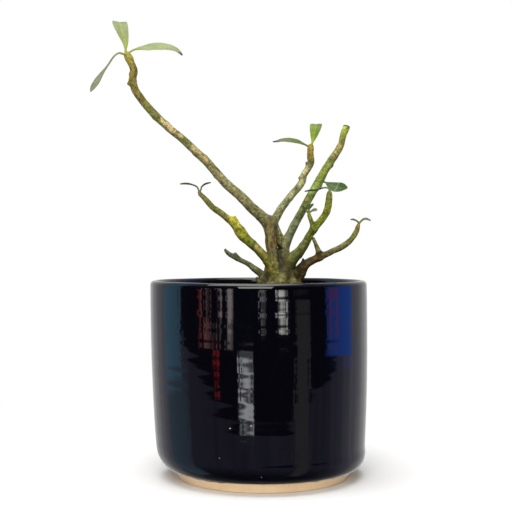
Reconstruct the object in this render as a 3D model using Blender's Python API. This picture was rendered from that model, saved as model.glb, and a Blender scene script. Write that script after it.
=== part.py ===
"""A potted desert rose (adenium): a glazed stoneware pot, its potting mix, one grown woody plant and its leaves.

World units are metres, +Z up. The origin is the centre of the pot's foot, on the surface it stands on,
and -Y is the front. Named sizes and tables of stations are in millimetres, and MM turns them into metres.
"""

import math

import bmesh
import bpy
from mathutils import Vector

MM = 0.001
GAP = 0.35  # clear space kept between neighbouring solids

# The pot: a thrown cylinder with a narrower unglazed foot
POT_HEIGHT = 136.6
RIM_RADIUS = 75.8
SHOULDER_RADIUS = 73.0
SHOULDER_HEIGHT = 20.0
FULL_WIDTH_HEIGHT = 110.0  # above this the wall is upright
FOOT_RADIUS = 59.8
FOOT_FLARE = 2.8  # the trimmed foot widens by this much up to the glaze
FOOT_HEIGHT = 6.5
FOOT_CHAMFER = 0.8
GLAZE_STEP = 0.4  # thickness of the glaze's lower edge
WALL = 5.4
LIP_HEIGHT = 3.2
LIP_BASE = POT_HEIGHT - LIP_HEIGHT
WALL_HEIGHTS = (30, 45, 60, 75, 90, 105, 120)  # stations up the wall
FLOOR = 8.0
FLOOR_FILLET = 14.0
RIM_SHIFT = -1.8  # the hand-thrown pot leans this far in X from its foot to its rim
FOOT_SHIFT = 1.6  # and its foot was trimmed this far off centre
FOOT_SHIFT_TOP = 24.0
POT_STEPS = 72
DRAIN_RADIUS = 4.5
DRAIN_CIRCLE = 30.0
DRAIN_COUNT = 3

# The potting mix
SOIL_LEVEL = 121.5
SOIL_CROWN = 0.8  # how much higher it is beside the plant than at the wall
SOIL_STEPS = 48

# The plant: stations (x, y, z, radius) along the middle of each stem or root
WOOD_SIDES = 10
CAUDEX_SIDES = 20
CAUDEX = (
    (13, 2, 78, 8),
    (13, 2, 88, 14),
    (13, 2, 100, 18.5),
    (13, 2, 112, 20),
    (13, 2, 121, 19),
    (13, 1.5, 129, 16),
    (13, 1, 136, 12.5),
    (12.5, 1, 144, 9.8),
    (12, 1, 151, 8),
    (12, 1, 156, 5),
)
ROOTS = {
    "tap_root": ((13, 2, 84, 9), (11, 4, 62, 5), (14, 2, 42, 3), (12, 0, 24, 1.6)),
    "left_root": ((8, 0, 94, 8), (-8, -6, 80, 5), (-28, -16, 62, 3.5), (-42, -22, 46, 2)),
    "right_root": ((18, 4, 92, 8), (34, 12, 74, 5), (46, 20, 54, 3), (50, 24, 38, 1.8)),
    "front_root": ((12, -2, 90, 8), (10, -18, 68, 5), (14, -34, 48, 3), (12, -42, 32, 1.8)),
}
STEMS = {
    "left_strand": (
        (10, 0, 142, 6), (9, 0, 150, 4.6), (8, 0, 156, 4), (6.8, 0, 163, 3.9), (6.6, 0.5, 170, 4), (6, 1.5, 177, 4.4),
    ),
    "right_strand": (
        (16, 2, 142, 6), (16.8, 3, 151, 4.4), (16.6, 3, 156, 3.7), (15, 3, 162, 3.5), (12, 3, 168, 3.5), (8.8, 3, 174.5, 3.6),
        (6.5, 2.5, 179.5, 3.4),
    ),
    "long_branch": (
        (6.5, 2, 174, 4), (5, 2, 177, 4.4), (1, 1.5, 180.8, 4), (-7, 0.5, 188, 3.7), (-15, -0.5, 196, 3.5),
        (-23.5, -1.5, 203.3, 3.2), (-31, -2.5, 211.5, 3.1), (-38.5, -4, 220, 2.9), (-46.5, -5.5, 227.3, 2.8),
        (-54.5, -7.5, 234.8, 2.7), (-63, -9.5, 241.6, 2.7), (-71, -11.5, 248.7, 2.7), (-78.3, -13, 256.6, 2.7),
        (-84.8, -15, 264.7, 2.6), (-87.2, -16, 269.8, 2.6), (-88.2, -17, 275, 2.6), (-86.9, -18, 280.3, 2.5),
        (-88.6, -18.5, 285, 2.5), (-90.8, -19.5, 289.5, 2.8), (-92.2, -20, 292.6, 1.9),
    ),
    "middle_branch": (
        (7, 4, 175, 3.4), (10, 6.5, 179.5, 3.1), (14.2, 10, 186.7, 2.8), (20.3, 14, 195, 2.6), (27, 18, 202.7, 2.6),
        (29.8, 19.5, 207, 2.5), (31.2, 21, 212, 2.4), (33.9, 22.5, 216.5, 2.4), (36.4, 24.5, 221.2, 2.5),
        (36, 26, 226.6, 2.4), (36.3, 27.5, 231.5, 2.4), (36.5, 28, 234, 1.8),
    ),
    "tall_branch": (
        (15.5, 3, 157, 3.4), (17.5, 4, 162, 3.2), (20.2, 5, 168.3, 3), (25.3, 7, 178.4, 2.9), (31, 9, 188.4, 2.8),
        (37.5, 11, 200.3, 2.9), (41.4, 12.5, 206.6, 3), (48.3, 16, 218.7, 2.8), (55, 19, 228.5, 2.6),
        (58, 20.5, 234, 2.4), (59.3, 22, 239.6, 2.4), (61.5, 23.5, 245.2, 2.6), (62.3, 24, 247.6, 2.6),
    ),
    "front_branch": (
        (15, 0, 142, 6), (19.5, -3, 148.5, 4.8), (23, -5.5, 153, 4.2), (26.6, -7.5, 156.4, 3.6), (29.5, -10, 160.3, 3.2),
        (31.8, -12.5, 164.5, 2.8), (33.9, -14.5, 168.7, 2.6), (36.7, -17, 172.8, 2.6), (39.7, -18, 176.3, 2.4),
        (42.7, -19.5, 180, 2.4), (45, -20.5, 184.2, 2.4), (46, -21.5, 188.8, 2.4), (46.3, -23, 193.5, 2.2),
        (46.5, -24, 197.5, 1.8),
    ),
    "front_branch_shoot": (
        (36.6, -16, 172, 1.9), (35.3, -16.5, 175, 1.5), (34.2, -17, 178, 1.4), (33.1, -18, 181, 1.3),
        (32.4, -19, 183.6, 1),
    ),
    "right_branch": (
        (16, 1, 132, 8), (21.5, 0, 135, 6), (25, -1, 138.5, 5), (27.3, -2, 142, 4.4), (29.3, -3, 145.5, 3.7),
        (32, -4, 148.2, 3.1), (35.5, -5, 150.2, 2.7), (40, -6, 152.5, 2.4), (46.5, -7.5, 155.2, 2.1),
        (50.3, -8.5, 157.3, 2), (54, -9.5, 158.8, 2), (57.6, -10, 160.9, 2.1), (60.9, -10.5, 163.4, 2),
        (63.5, -11, 166.5, 1.8), (65.7, -11.5, 170, 1.8), (67, -11.7, 173.5, 1.5), (67.7, -12, 176, 1),
    ),
    "right_branch_stub": ((41, -6.2, 152.5, 2), (40, -6, 156.8, 1.7), (38.3, -5, 161.5, 1.4), (36.4, -4, 166.2, 1.1)),
    "left_branch": (
        (12, -4, 132, 5), (11, -7.5, 138.2, 3.6), (7.1, -10, 145.6, 3.2), (2.5, -12, 152.6, 3.1), (-3, -13, 158.8, 3),
        (-6.2, -13.2, 161.5, 3.1), (-9.2, -13.4, 164.3, 3.3), (-12, -13.5, 167, 3.7), (-14.6, -13.7, 170.6, 3.5),
        (-17.1, -14, 174.8, 2.7), (-18.9, -14, 178.5, 2.4), (-19.7, -14, 180.6, 2.3),
    ),
    "left_branch_shoot": (
        (-14, -14, 171, 2.6), (-18.4, -15, 175.4, 2.3), (-23.6, -15.5, 179.8, 2.2), (-26.9, -16, 182.5, 2.1),
        (-30.2, -16.5, 184.8, 2.1), (-33.4, -17.2, 187.2, 2), (-36.1, -17.7, 190.2, 1.9), (-38.9, -18.2, 193.2, 1.8),
        (-41.6, -18.8, 196, 1.5), (-42.5, -19, 197.8, 1.1),
    ),
    "back_branch": (
        (9, 3, 130, 5), (6.4, 3.5, 134, 3.8), (3.7, 4.2, 137.3, 3.2), (0.8, 5.3, 140, 2.8), (-2.4, 6.5, 142.9, 2.4),
        (-5.7, 7.6, 145.4, 2.1), (-9.2, 8.8, 147.9, 1.8), (-13, 10, 149.8, 1.7), (-16.8, 11.2, 151.6, 1.6),
        (-20.6, 12.3, 153.5, 1.6), (-24, 13.4, 155.8, 1.4), (-25.9, 14, 158.2, 1),
    ),
    "back_branch_spur": ((-16.4, 11.2, 151.8, 1.2), (-18.4, 12, 155.5, 0.8)),
    "low_stub": ((3.5, -5, 132.5, 2.6), (-0.5, -7, 136, 1.8), (-3.3, -8, 138.2, 1.2)),
}

# Leaves: midrib points (x, y, z), widest half-width, share of the length that is stalk, share of the blade
# at which it is widest, and the way the upper side faces at the stalk and at the tip
LEAF_THICKNESS = 1.0
STALK_HALF_WIDTH = 0.7
LEAF_STATIONS = 9
LEAVES = {
    "leaf_long_up": (
        ((-92.6, -20.1, 293.7), (-93, -18.5, 299.5), (-94.9, -15.5, 306), (-97.2, -11, 312.5), (-98.8, -4.5, 316.8),
         (-99.4, 3, 317.3), (-99.4, 9, 315)),
        5.0, 0.04, 0.58, (0.1, -0.85, 0.5), (0.1, -0.2, 1),
    ),
    "leaf_long_right": (
        ((-89.3, -20, 293.3), (-85.5, -20.5, 295), (-80, -21, 295.7), (-72, -21.5, 296.2), (-64, -22, 295.5),
         (-58, -22.5, 293.8), (-53.5, -23, 290.2)),
        5.4, 0.1, 0.6, (0, -0.85, 0.5), (0.3, -0.35, 0.95),
    ),
    "leaf_long_drooping": (
        ((-95.1, -20, 292), (-97.5, -20.3, 292.2), (-100.8, -20.8, 289.6), (-104.7, -21.5, 283.5), (-109, -22.3, 277),
         (-113, -23, 270.5), (-116.3, -23.5, 265.4)),
        3.4, 0.3, 0.72, (-0.6, -0.7, 0.4), (-0.6, -0.75, 0.4),
    ),
    "leaf_middle_left": (
        ((33.9, 27.8, 233.6), (31, 27, 235), (26, 26, 236.5), (21, 25, 237.2), (16, 24.5, 237.2), (11.8, 24, 236.6),
         (8.5, 24, 236.3)),
        4.4, 0.1, 0.63, (0, -0.85, 0.5), (0, -0.1, 1),
    ),
    "leaf_middle_up": (
        ((37.3, 28.3, 235.1), (38.2, 28.8, 238.4), (39.2, 30, 243), (40.1, 32.5, 247.3), (40.8, 37, 250.2), (41.1, 43, 250.8),
         (41.3, 47, 249.3)),
        4.2, 0.06, 0.55, (0, -0.85, 0.5), (0, -0.1, 1),
    ),
    "leaf_tall_right": (
        ((44.9, 12, 206.3), (46.8, 11.3, 205.6), (49.5, 10, 203.9), (53.4, 7, 202.2), (57.3, 4, 201.5), (61, 1, 201.4)),
        4.6, 0.1, 0.55, (0.1, -0.85, 0.5), (0.1, -0.85, 0.5),
    ),
    "leaf_front_left": (
        ((46.4, -24.6, 199), (45, -24.9, 199.9), (43, -25.2, 200.1), (40.1, -25.5, 199.5), (36.7, -25.8, 198.4),
         (33, -26, 198.2), (29.3, -26, 197.6)),
        3, 0.25, 0.63, (0, 0.06, 1), (0, 0.06, 1),
    ),
    "leaf_shoot_up": (
        ((32.6, -19.3, 185), (33.2, -19.6, 186.6), (34.4, -19.8, 188), (36, -20, 189.4)),
        1.6, 0.1, 0.63, (-0.4, -0.8, 0.5), (-0.4, -0.4, 0.8),
    ),
    "leaf_shoot_left": (
        ((31, -19.4, 184.6), (30.2, -19.8, 186.4), (28.9, -20.2, 187.6), (27.6, -20.5, 188.3)),
        1.3, 0.2, 0.63, (0, -0.2, 1), (0, 0, 1),
    ),
    "leaf_shoot_right": (
        ((33.9, -19.3, 184), (35.4, -19.8, 184.9), (37, -20.2, 185.2), (38.5, -20.5, 185.2)),
        1.8, 0.2, 0.63, (0, -0.7, 0.7), (0, -0.5, 0.8),
    ),
    "leaf_right_left": (
        ((67, -12.2, 177.2), (65.2, -12.5, 178.3), (63.4, -12.8, 178.8), (61.7, -13, 178.9)),
        1.7, 0.15, 0.63, (0, -0.6, 0.8), (0, -0.2, 1),
    ),
    "leaf_right_right": (
        ((68.7, -12.4, 177.2), (70.3, -12.7, 178.7), (72.2, -13, 179.2), (74.2, -13.3, 178.8), (75.9, -13.5, 178.1)),
        2.2, 0.15, 0.63, (0, -0.7, 0.7), (0, 0, 1),
    ),
    "leaf_left_left": (
        ((-43, -19.2, 199.2), (-44, -19.4, 201), (-47.4, -19.7, 202.7), (-51.5, -20, 203.2), (-55.6, -20.2, 203)),
        2.6, 0.2, 0.63, (0, 0, 1), (0, 0.05, 1),
    ),
    "leaf_left_right": (
        ((-41.3, -19.2, 199), (-40.6, -19.4, 201.2), (-38.8, -19.7, 202.7), (-36.6, -20, 203.5), (-34.3, -20.2, 204)),
        2.4, 0.2, 0.63, (0, -0.1, 1), (0, 0, 1),
    ),
}

# Colour (linear), roughness
NAVY_GLAZE = ((0.008, 0.009, 0.018), 0.06)
DARK_MIX = ((0.045, 0.030, 0.020), 0.95)
OLIVE_BARK = ((0.150, 0.150, 0.045), 0.60)
LEAF_GREEN = ((0.170, 0.290, 0.060), 0.35)


def clear_scene():
    """Removes whatever the file opened with."""
    for thing in list(bpy.data.objects):
        bpy.data.objects.remove(thing)


def material(name, finish):
    """A plain Principled material from a (colour, roughness) pair."""
    colour, roughness = finish
    made = bpy.data.materials.new(name)
    made.use_nodes = True
    shader = made.node_tree.nodes["Principled BSDF"]
    shader.inputs["Base Color"].default_value = (*colour, 1)
    shader.inputs["Roughness"].default_value = roughness
    shader.inputs["Metallic"].default_value = 0
    made.diffuse_color = (*colour, 1)
    return made


def add_object(name, mesh, finish=None):
    """Links a mesh into the scene, smooth shaded with sharp creases kept."""
    mesh.shade_smooth()
    mesh.set_sharp_from_angle(angle=math.radians(40))
    made = bpy.data.objects.new(name, mesh)
    bpy.context.scene.collection.objects.link(made)
    if finish:
        mesh.materials.append(material(name + "_finish", finish))
    return made


def as_cutter(thing):
    """Marks a helper that only serves a Boolean."""
    thing.hide_render = True
    thing.display_type = "WIRE"
    return thing


def add_boolean(thing, operation, other):
    """Joins or cuts thing with other, by the exact solver."""
    modifier = thing.modifiers.new(operation.lower() + "_" + other.name, "BOOLEAN")
    modifier.operation = operation
    modifier.solver = "EXACT"
    modifier.object = other


def mesh_from(shape, name):
    """Turns a bmesh into a mesh with its doubles merged and its faces pointing out."""
    bmesh.ops.remove_doubles(shape, verts=shape.verts, dist=1e-6)
    bmesh.ops.recalc_face_normals(shape, faces=shape.faces)
    mesh = bpy.data.meshes.new(name)
    shape.to_mesh(mesh)
    shape.free()
    return mesh


def turned(name, profile, steps):
    """Spins a profile of (radius, z) points, from axis to axis, into a closed solid that leans as the pot does."""
    shape = bmesh.new()
    points = [shape.verts.new((radius * MM, 0, z * MM)) for radius, z in profile]
    edges = [shape.edges.new(pair) for pair in zip(points, points[1:])]
    bmesh.ops.spin(
        shape,
        geom=points + edges,
        cent=(0, 0, 0),
        axis=(0, 0, 1),
        angle=math.tau,
        steps=steps,
        use_duplicate=False,
    )
    for vert in shape.verts:
        vert.co.x += lean(vert.co.z / MM) * MM
    return mesh_from(shape, name)


def lean(z):
    """How far off centre in X the pot is at a height: the foot's own shift dies away smoothly up the shoulder."""
    share = min(1, max(0, z - FOOT_HEIGHT) / (FOOT_SHIFT_TOP - FOOT_HEIGHT))
    return RIM_SHIFT / POT_HEIGHT * z + FOOT_SHIFT * (1 - share * share * (3 - 2 * share))


def outer_radius(z):
    """The wall's outside: upright near the rim, and drawn in as a parabola towards the shoulder."""
    below = max(0, FULL_WIDTH_HEIGHT - z) / (FULL_WIDTH_HEIGHT - SHOULDER_HEIGHT)
    return RIM_RADIUS - (RIM_RADIUS - SHOULDER_RADIUS) * below**2


def inner_radius(z):
    """The wall's inside, with a quarter-round where it meets the floor."""
    above = z - FLOOR
    if above >= FLOOR_FILLET:
        return outer_radius(z) - WALL
    lift = FLOOR_FILLET - above
    foot = outer_radius(FLOOR + FLOOR_FILLET) - WALL - FLOOR_FILLET
    return foot + math.sqrt(FLOOR_FILLET**2 - lift**2)


def arc(centre, across, up, start, end, count):
    """Points of an ellipse about centre, with angles in degrees from the +radius direction."""
    angles = [math.radians(start + (end - start) * i / count) for i in range(count + 1)]
    return [(centre[0] + across * math.cos(a), centre[1] + up * math.sin(a)) for a in angles]


def inside_points():
    """The inside of the pot's half section, from under the lip to the middle of the floor."""
    wall = [(inner_radius(z), z) for z in reversed(WALL_HEIGHTS)]
    fillet = [(inner_radius(z), z) for z in (FLOOR + FLOOR_FILLET * share for share in (0.5, 0.22, 0.06, 0))]
    return wall + fillet + [(0, FLOOR)]


def pot_profile():
    """The pot's half section, from the middle of its foot, over the lip, to the middle of its floor."""
    top = FOOT_RADIUS + FOOT_FLARE
    glaze_radius = top + GLAZE_STEP
    foot = [(0, 0), (FOOT_RADIUS - FOOT_CHAMFER, 0), (FOOT_RADIUS, FOOT_CHAMFER), (top, FOOT_HEIGHT)]
    shoulder = arc(
        (glaze_radius, SHOULDER_HEIGHT), SHOULDER_RADIUS - glaze_radius, SHOULDER_HEIGHT - FOOT_HEIGHT, -90, 0, 8
    )
    outside = [(outer_radius(z), z) for z in WALL_HEIGHTS]
    lip = arc((RIM_RADIUS - WALL / 2, LIP_BASE), WALL / 2, LIP_HEIGHT, 0, 180, 8)
    return foot + shoulder + outside + lip + inside_points()


def build_pot():
    """The fired pot: one piece, with a flat foot and drainage holes round its middle."""
    pot = add_object("pot", turned("pot", pot_profile(), POT_STEPS), NAVY_GLAZE)
    shape = bmesh.new()
    for i in range(DRAIN_COUNT):
        turn = math.tau * (i + 0.25) / DRAIN_COUNT
        made = bmesh.ops.create_cone(
            shape,
            cap_ends=True,
            segments=20,
            radius1=DRAIN_RADIUS * MM,
            radius2=DRAIN_RADIUS * MM,
            depth=3 * FLOOR * MM,
        )
        place = Vector((math.cos(turn), math.sin(turn), 0)) * DRAIN_CIRCLE * MM
        bmesh.ops.translate(shape, verts=made["verts"], vec=place)
    cutter = as_cutter(add_object("drain_cutter", mesh_from(shape, "drain_cutter")))
    add_boolean(pot, "DIFFERENCE", cutter)
    return pot


def soil_profile():
    """The potting mix follows the pot's inside, a gap short of it, up to its own level."""
    side = [(radius - GAP * 1.5, z + GAP) for radius, z in inside_points()[:-1] if z < SOIL_LEVEL - 5]
    bottom = [(0, FLOOR + GAP)]
    edge = [(inner_radius(SOIL_LEVEL) - GAP * 1.5, SOIL_LEVEL)]
    top = [(RIM_RADIUS * 0.5, SOIL_LEVEL + SOIL_CROWN * 0.7), (0, SOIL_LEVEL + SOIL_CROWN)]
    return bottom + side[::-1] + edge + top


def tube(name, stations, sides, extra=0):
    """A closed tapering stem: a bevelled curve through (x, y, z, radius) stations, made a mesh."""
    curve = bpy.data.curves.new(name, "CURVE")
    curve.dimensions = "3D"
    curve.bevel_depth = MM
    curve.bevel_resolution = sides // 2 - 2
    curve.use_fill_caps = True
    spline = curve.splines.new("POLY")
    spline.points.add(len(stations) - 1)
    for point, (x, y, z, radius) in zip(spline.points, stations):
        point.co = (x * MM, y * MM, z * MM, 1)
        point.radius = radius + extra
    guide = bpy.data.objects.new(name + "_guide", curve)
    bpy.context.scene.collection.objects.link(guide)
    shape = bmesh.new()
    shape.from_mesh(bpy.data.meshes.new_from_object(guide.evaluated_get(bpy.context.evaluated_depsgraph_get())))
    bpy.data.objects.remove(guide)
    return add_object(name, mesh_from(shape, name))


def build_plant():
    """The swollen base with its roots and every stem, joined as the one piece that grew."""
    plant = tube("caudex_and_branches", CAUDEX, CAUDEX_SIDES)
    plant.data.materials.append(material("bark_finish", OLIVE_BARK))
    for name, stations in {**ROOTS, **STEMS}.items():
        add_boolean(plant, "UNION", as_cutter(tube(name, stations, WOOD_SIDES)))
    return plant


def build_soil():
    """The potting mix, with a pocket that fits the buried base and roots."""
    soil = add_object("potting_mix", turned("potting_mix", soil_profile(), SOIL_STEPS), DARK_MIX)
    pocket = as_cutter(tube("pocket", CAUDEX, CAUDEX_SIDES, extra=GAP * 1.5))
    add_boolean(soil, "DIFFERENCE", pocket)
    for name, stations in ROOTS.items():
        add_boolean(soil, "DIFFERENCE", as_cutter(tube(name + "_pocket", stations, WOOD_SIDES, extra=GAP * 1.5)))
    return soil


def along(points, share):
    """The point and the direction at a share of the length of a run of points."""
    lengths = [(b - a).length for a, b in zip(points, points[1:])]
    left = share * sum(lengths)
    for i, length in enumerate(lengths):
        if left <= length or i == len(lengths) - 1:
            break
        left -= length
    step = (points[i + 1] - points[i]).normalized()
    before = (points[i] - points[i - 1]).normalized() if i > 0 else step
    after = (points[i + 2] - points[i + 1]).normalized() if i + 2 < len(points) else step
    part = left / lengths[i]
    ahead = (before * (1 - part) + step + after * part).normalized()
    return points[i] + step * left, ahead


def leaf_half_width(share, widest, stalk, peak):
    """A stalk that widens to a blade broadest at the peak share of its length, with a round tip."""
    if share <= stalk:
        return STALK_HALF_WIDTH
    blade = (share - stalk) / (1 - stalk)
    swell = math.sin(math.pi * blade ** (math.log(0.5) / math.log(peak))) ** 0.75 if blade < 1 else 0
    return STALK_HALF_WIDTH * (1 - blade) + (widest - STALK_HALF_WIDTH * 0.3) * swell + 0.15


def build_leaf(name, midrib, widest, stalk, peak, face, tip_face):
    """One fleshy leaf: a lens-shaped section carried along its midrib."""
    points = [Vector(point) for point in midrib]
    shape = bmesh.new()
    rings = []
    for i in range(LEAF_STATIONS):
        share = (i / (LEAF_STATIONS - 1)) ** 0.85
        place, ahead = along(points, share)
        upper = Vector(face).lerp(Vector(tip_face), share)
        aside = ahead.cross(upper).normalized()
        upper = aside.cross(ahead).normalized()
        half = leaf_half_width(share, widest, stalk, peak)
        thick = min(LEAF_THICKNESS, half * 1.2) / 2
        section = ((-1, 0), (-0.5, 0.75), (0, 1), (0.5, 0.75), (1, 0), (0.5, -0.75), (0, -1), (-0.5, -0.75))
        ring = [shape.verts.new((place + aside * half * a + upper * thick * b) * MM) for a, b in section]
        rings.append(ring)
    for first, second in zip(rings, rings[1:]):
        for j in range(len(first)):
            k = (j + 1) % len(first)
            shape.faces.new((first[j], first[k], second[k], second[j]))
    shape.faces.new(rings[0])
    shape.faces.new(rings[-1])
    return add_object(name, mesh_from(shape, name), LEAF_GREEN)


clear_scene()
build_pot()
build_soil()
build_plant()
for leaf_name, leaf in LEAVES.items():
    build_leaf(leaf_name, *leaf)
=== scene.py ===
# %% [markdown]
# # A potted desert rose
# A young adenium stands in a thrown, black-blue glazed stoneware pot. The imported CAD model gives the sizes.
# This script puts a finer skin on each of its pieces: the glaze, the bark, the leaves and the potting mix.
# First the frame is loaded.

import math

import bmesh
import bpy
import numpy as np
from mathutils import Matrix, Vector


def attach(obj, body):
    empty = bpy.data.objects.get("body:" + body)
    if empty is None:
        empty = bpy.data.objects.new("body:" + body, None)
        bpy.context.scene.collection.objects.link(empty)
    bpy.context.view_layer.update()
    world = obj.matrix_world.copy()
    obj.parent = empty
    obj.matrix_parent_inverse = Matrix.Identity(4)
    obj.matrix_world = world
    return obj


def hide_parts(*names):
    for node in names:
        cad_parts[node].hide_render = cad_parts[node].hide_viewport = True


MM = 0.001
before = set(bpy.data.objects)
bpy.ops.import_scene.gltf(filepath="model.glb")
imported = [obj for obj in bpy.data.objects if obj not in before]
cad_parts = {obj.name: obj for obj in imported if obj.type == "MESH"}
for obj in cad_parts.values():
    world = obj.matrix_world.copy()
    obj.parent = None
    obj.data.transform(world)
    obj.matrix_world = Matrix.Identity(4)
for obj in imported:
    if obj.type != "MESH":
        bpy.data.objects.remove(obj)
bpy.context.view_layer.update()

# %% [markdown]
# ## Small tools
# Every surface below is a grid of points worked out with numpy, so one helper turns points and faces into
# an object. Colours are written as sRGB hex, as a paint chart would give them, and one function makes them
# linear.


# %% Colours, nodes and meshes
def linear(code):
    """sRGB hex to linear light: c / 12.92 when dark, otherwise ((c + 0.055) / 1.055) to the power 2.4."""
    parts = np.array([int(code[i:i + 2], 16) for i in (1, 3, 5)]) / 255
    return np.where(parts <= 0.04045, parts / 12.92, ((parts + 0.055) / 1.055) ** 2.4)


def rgba(code):
    """A hex colour as the four numbers a colour socket takes."""
    return (*map(float, linear(code)), 1.0)


def node(tree, kind, wires=None, **settings):
    """Adds one node: settings are its own fields, wires give each input a value or another node's
    output."""
    made = tree.nodes.new(kind)
    for field, value in settings.items():
        setattr(made, field, value)
    for socket, value in (wires or {}).items():
        if isinstance(value, bpy.types.NodeSocket):
            tree.links.new(value, made.inputs[socket])
        else:
            made.inputs[socket].default_value = value
    return made


def finish_named(name):
    """An empty node material with its output, ready for a shader."""
    made = bpy.data.materials.new(name)
    made.use_nodes = True
    made.node_tree.nodes.clear()
    return made, made.node_tree, node(made.node_tree, "ShaderNodeOutputMaterial")


def calc(tree, operation, *values):
    """One sum on numbers: a Math node."""
    return node(tree, "ShaderNodeMath", dict(enumerate(values)), operation=operation).outputs[0]


def ramp(tree, value, start, end, low, high, shape="LINEAR"):
    """low where value is at start, high where it is at end, and held beyond."""
    wires = {"Value": value, 1: start, 2: end, 3: low, 4: high}
    return node(tree, "ShaderNodeMapRange", wires, interpolation_type=shape).outputs[0]


def blend(tree, share, first, second):
    """A colour between two: the first where the share is 0, the second where it is 1."""
    return node(tree, "ShaderNodeMix", {"Factor": share, 6: first, 7: second}, data_type="RGBA").outputs[2]


def speckle(tree, where, scale, detail, roughness=0.5):
    """Noise from 0 to 1 with that many lumps to a unit of length, and that many finer layers on top."""
    wires = {"Vector": where, "Scale": scale, "Detail": detail, "Roughness": roughness}
    return node(tree, "ShaderNodeTexNoise", wires).outputs["Fac"]


def dots(tree, where, scale, inner, outer, rarity):
    """Dots in random cells: 1 within the inner distance of a cell's point, 0 beyond the outer one, and only
    in cells whose own random number is above the rarity."""
    cells = node(tree, "ShaderNodeTexVoronoi", {"Vector": where, "Scale": scale})
    spot = ramp(tree, cells.outputs["Distance"], inner, outer, 1.0, 0.0)
    chance = node(tree, "ShaderNodeSeparateColor", {"Color": cells.outputs["Color"]}).outputs[0]
    return calc(tree, "MULTIPLY", spot, calc(tree, "GREATER_THAN", chance, rarity))


def scaled(tree, colour, factor):
    """A colour times a number."""
    return node(tree, "ShaderNodeVectorMath", {0: colour, 3: factor}, operation="SCALE").outputs[0]


def coat(tree, output, base, rough, index, high, strength, depth, shine=0.5):
    """A Principled surface with its bump: relief of that depth in metres, from the height signal."""
    relief = node(
        tree, "ShaderNodeBump", {"Height": high, "Strength": strength, "Distance": depth}
    ).outputs[0]
    wires = {
        "Base Color": base, "Roughness": rough, "IOR": index, "Specular IOR Level": shine, "Normal": relief,
    }
    tree.links.new(node(tree, "ShaderNodeBsdfPrincipled", wires).outputs[0], output.inputs["Surface"])


def toned_finish(name):
    """A material that starts from the points' colours: itself, its tree, its output, the place and the
    colour."""
    finish, tree, output = finish_named(name)
    where = node(tree, "ShaderNodeTexCoord").outputs["Object"]
    tone = node(tree, "ShaderNodeVertexColor", layer_name="tone").outputs["Color"]
    return finish, tree, output, where, tone


def grid_faces(rows, columns):
    """Quads of a grid whose last column joins its first, as (row, column) -> row * columns + column."""
    row, column = np.meshgrid(np.arange(rows - 1), np.arange(columns), indexing="ij")
    following = (column + 1) % columns
    here, there = row * columns, (row + 1) * columns
    return np.stack((here + column, here + following, there + following, there + column), -1).reshape(-1, 4)


def closed_skin(points):
    """Vertices and faces of a (rows, columns, 3) grid of rings, closed at each end by a fan to the ring's
    middle."""
    rows, columns = points.shape[:2]
    count = rows * columns
    vertices = np.concatenate([points.reshape(-1, 3), points[:1].mean(1), points[-1:].mean(1)])
    column = np.arange(columns)
    following = (column + 1) % columns
    first = np.stack([following, column, np.full(columns, count)], -1)
    last = np.stack([column, following, np.full(columns, count + 1)], -1)
    last[:, :2] += (rows - 1) * columns
    return vertices, grid_faces(rows, columns).tolist() + first.tolist() + last.tolist()


def shell(name, vertices, faces, finish=None, tones=None, smooth=True):
    """An object at the origin from points in millimetres, with a colour for each point where tones are
    given."""
    mesh = bpy.data.meshes.new(name)
    mesh.from_pydata((np.asarray(vertices) * MM).tolist(), [], [list(face) for face in faces])
    mesh.polygons.foreach_set("use_smooth", np.full(len(mesh.polygons), smooth))
    if tones is not None:
        layer = mesh.color_attributes.new("tone", "FLOAT_COLOR", "POINT")
        opaque = np.column_stack([tones, np.ones(len(tones))])
        layer.data.foreach_set("color", opaque.astype(np.float32).ravel())
    mesh.update()
    made = bpy.data.objects.new(name, mesh)
    bpy.context.scene.collection.objects.link(made)
    if finish:
        mesh.materials.append(finish)
    return made


def joined(skins):
    """Several closed skins as one list of points and one list of faces."""
    vertices, faces = [], []
    for points, skin in skins:
        faces += [[index + len(vertices) for index in face] for face in skin]
        vertices += points.tolist()
    return vertices, faces


def weld(piece, distance):
    """Merges points closer than that many millimetres, which drops the empty faces between them."""
    work = bmesh.new()
    work.from_mesh(piece.data)
    bmesh.ops.remove_doubles(work, verts=work.verts, dist=distance * MM)
    work.to_mesh(piece.data)
    work.free()


def stands_for(piece, slot, *nodes):
    """The piece moves with the one body and replaces those CAD nodes; the slot is not used."""
    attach(piece, "root")
    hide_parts(*nodes)
    print(piece.name, len(piece.data.polygons), "faces")


# %% [markdown]
# Nothing that grew or was thrown by hand is perfectly even. Value noise gives that unevenness: each corner
# of a lattice has a fixed number of its own, and a point takes a smooth blend of the eight corners round
# it.


# %% Noise
def corner_value(cells, seed):
    """A fixed number from -1 to 1 for each whole-number corner: its coordinates mixed by multiply and
    shift."""
    cells = cells.astype(np.int64)
    mixed = cells[..., 0] * 73856093 ^ cells[..., 1] * 19349663 ^ cells[..., 2] * 83492791 ^ (seed * 2654435)
    mixed = (mixed ^ (mixed >> 13)) * 1274126177 & 0x7FFFFFFF
    mixed = (mixed ^ (mixed >> 16)) & 0xFFFF
    return mixed / 32767.5 - 1


def noise(points, size, seed=1):
    """Smooth noise whose lumps are about size across: the eight corners weighted by 3t^2 - 2t^3 along each
    axis."""
    places = np.asarray(points) / size
    low = np.floor(places)
    t = places - low
    t = t * t * (3 - 2 * t)
    total = np.zeros(places.shape[:-1])
    for corner in np.ndindex(2, 2, 2):
        share = np.prod(np.where(np.array(corner) == 1, t, 1 - t), axis=-1)
        total += share * corner_value(low + np.array(corner), seed)
    return total


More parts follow.
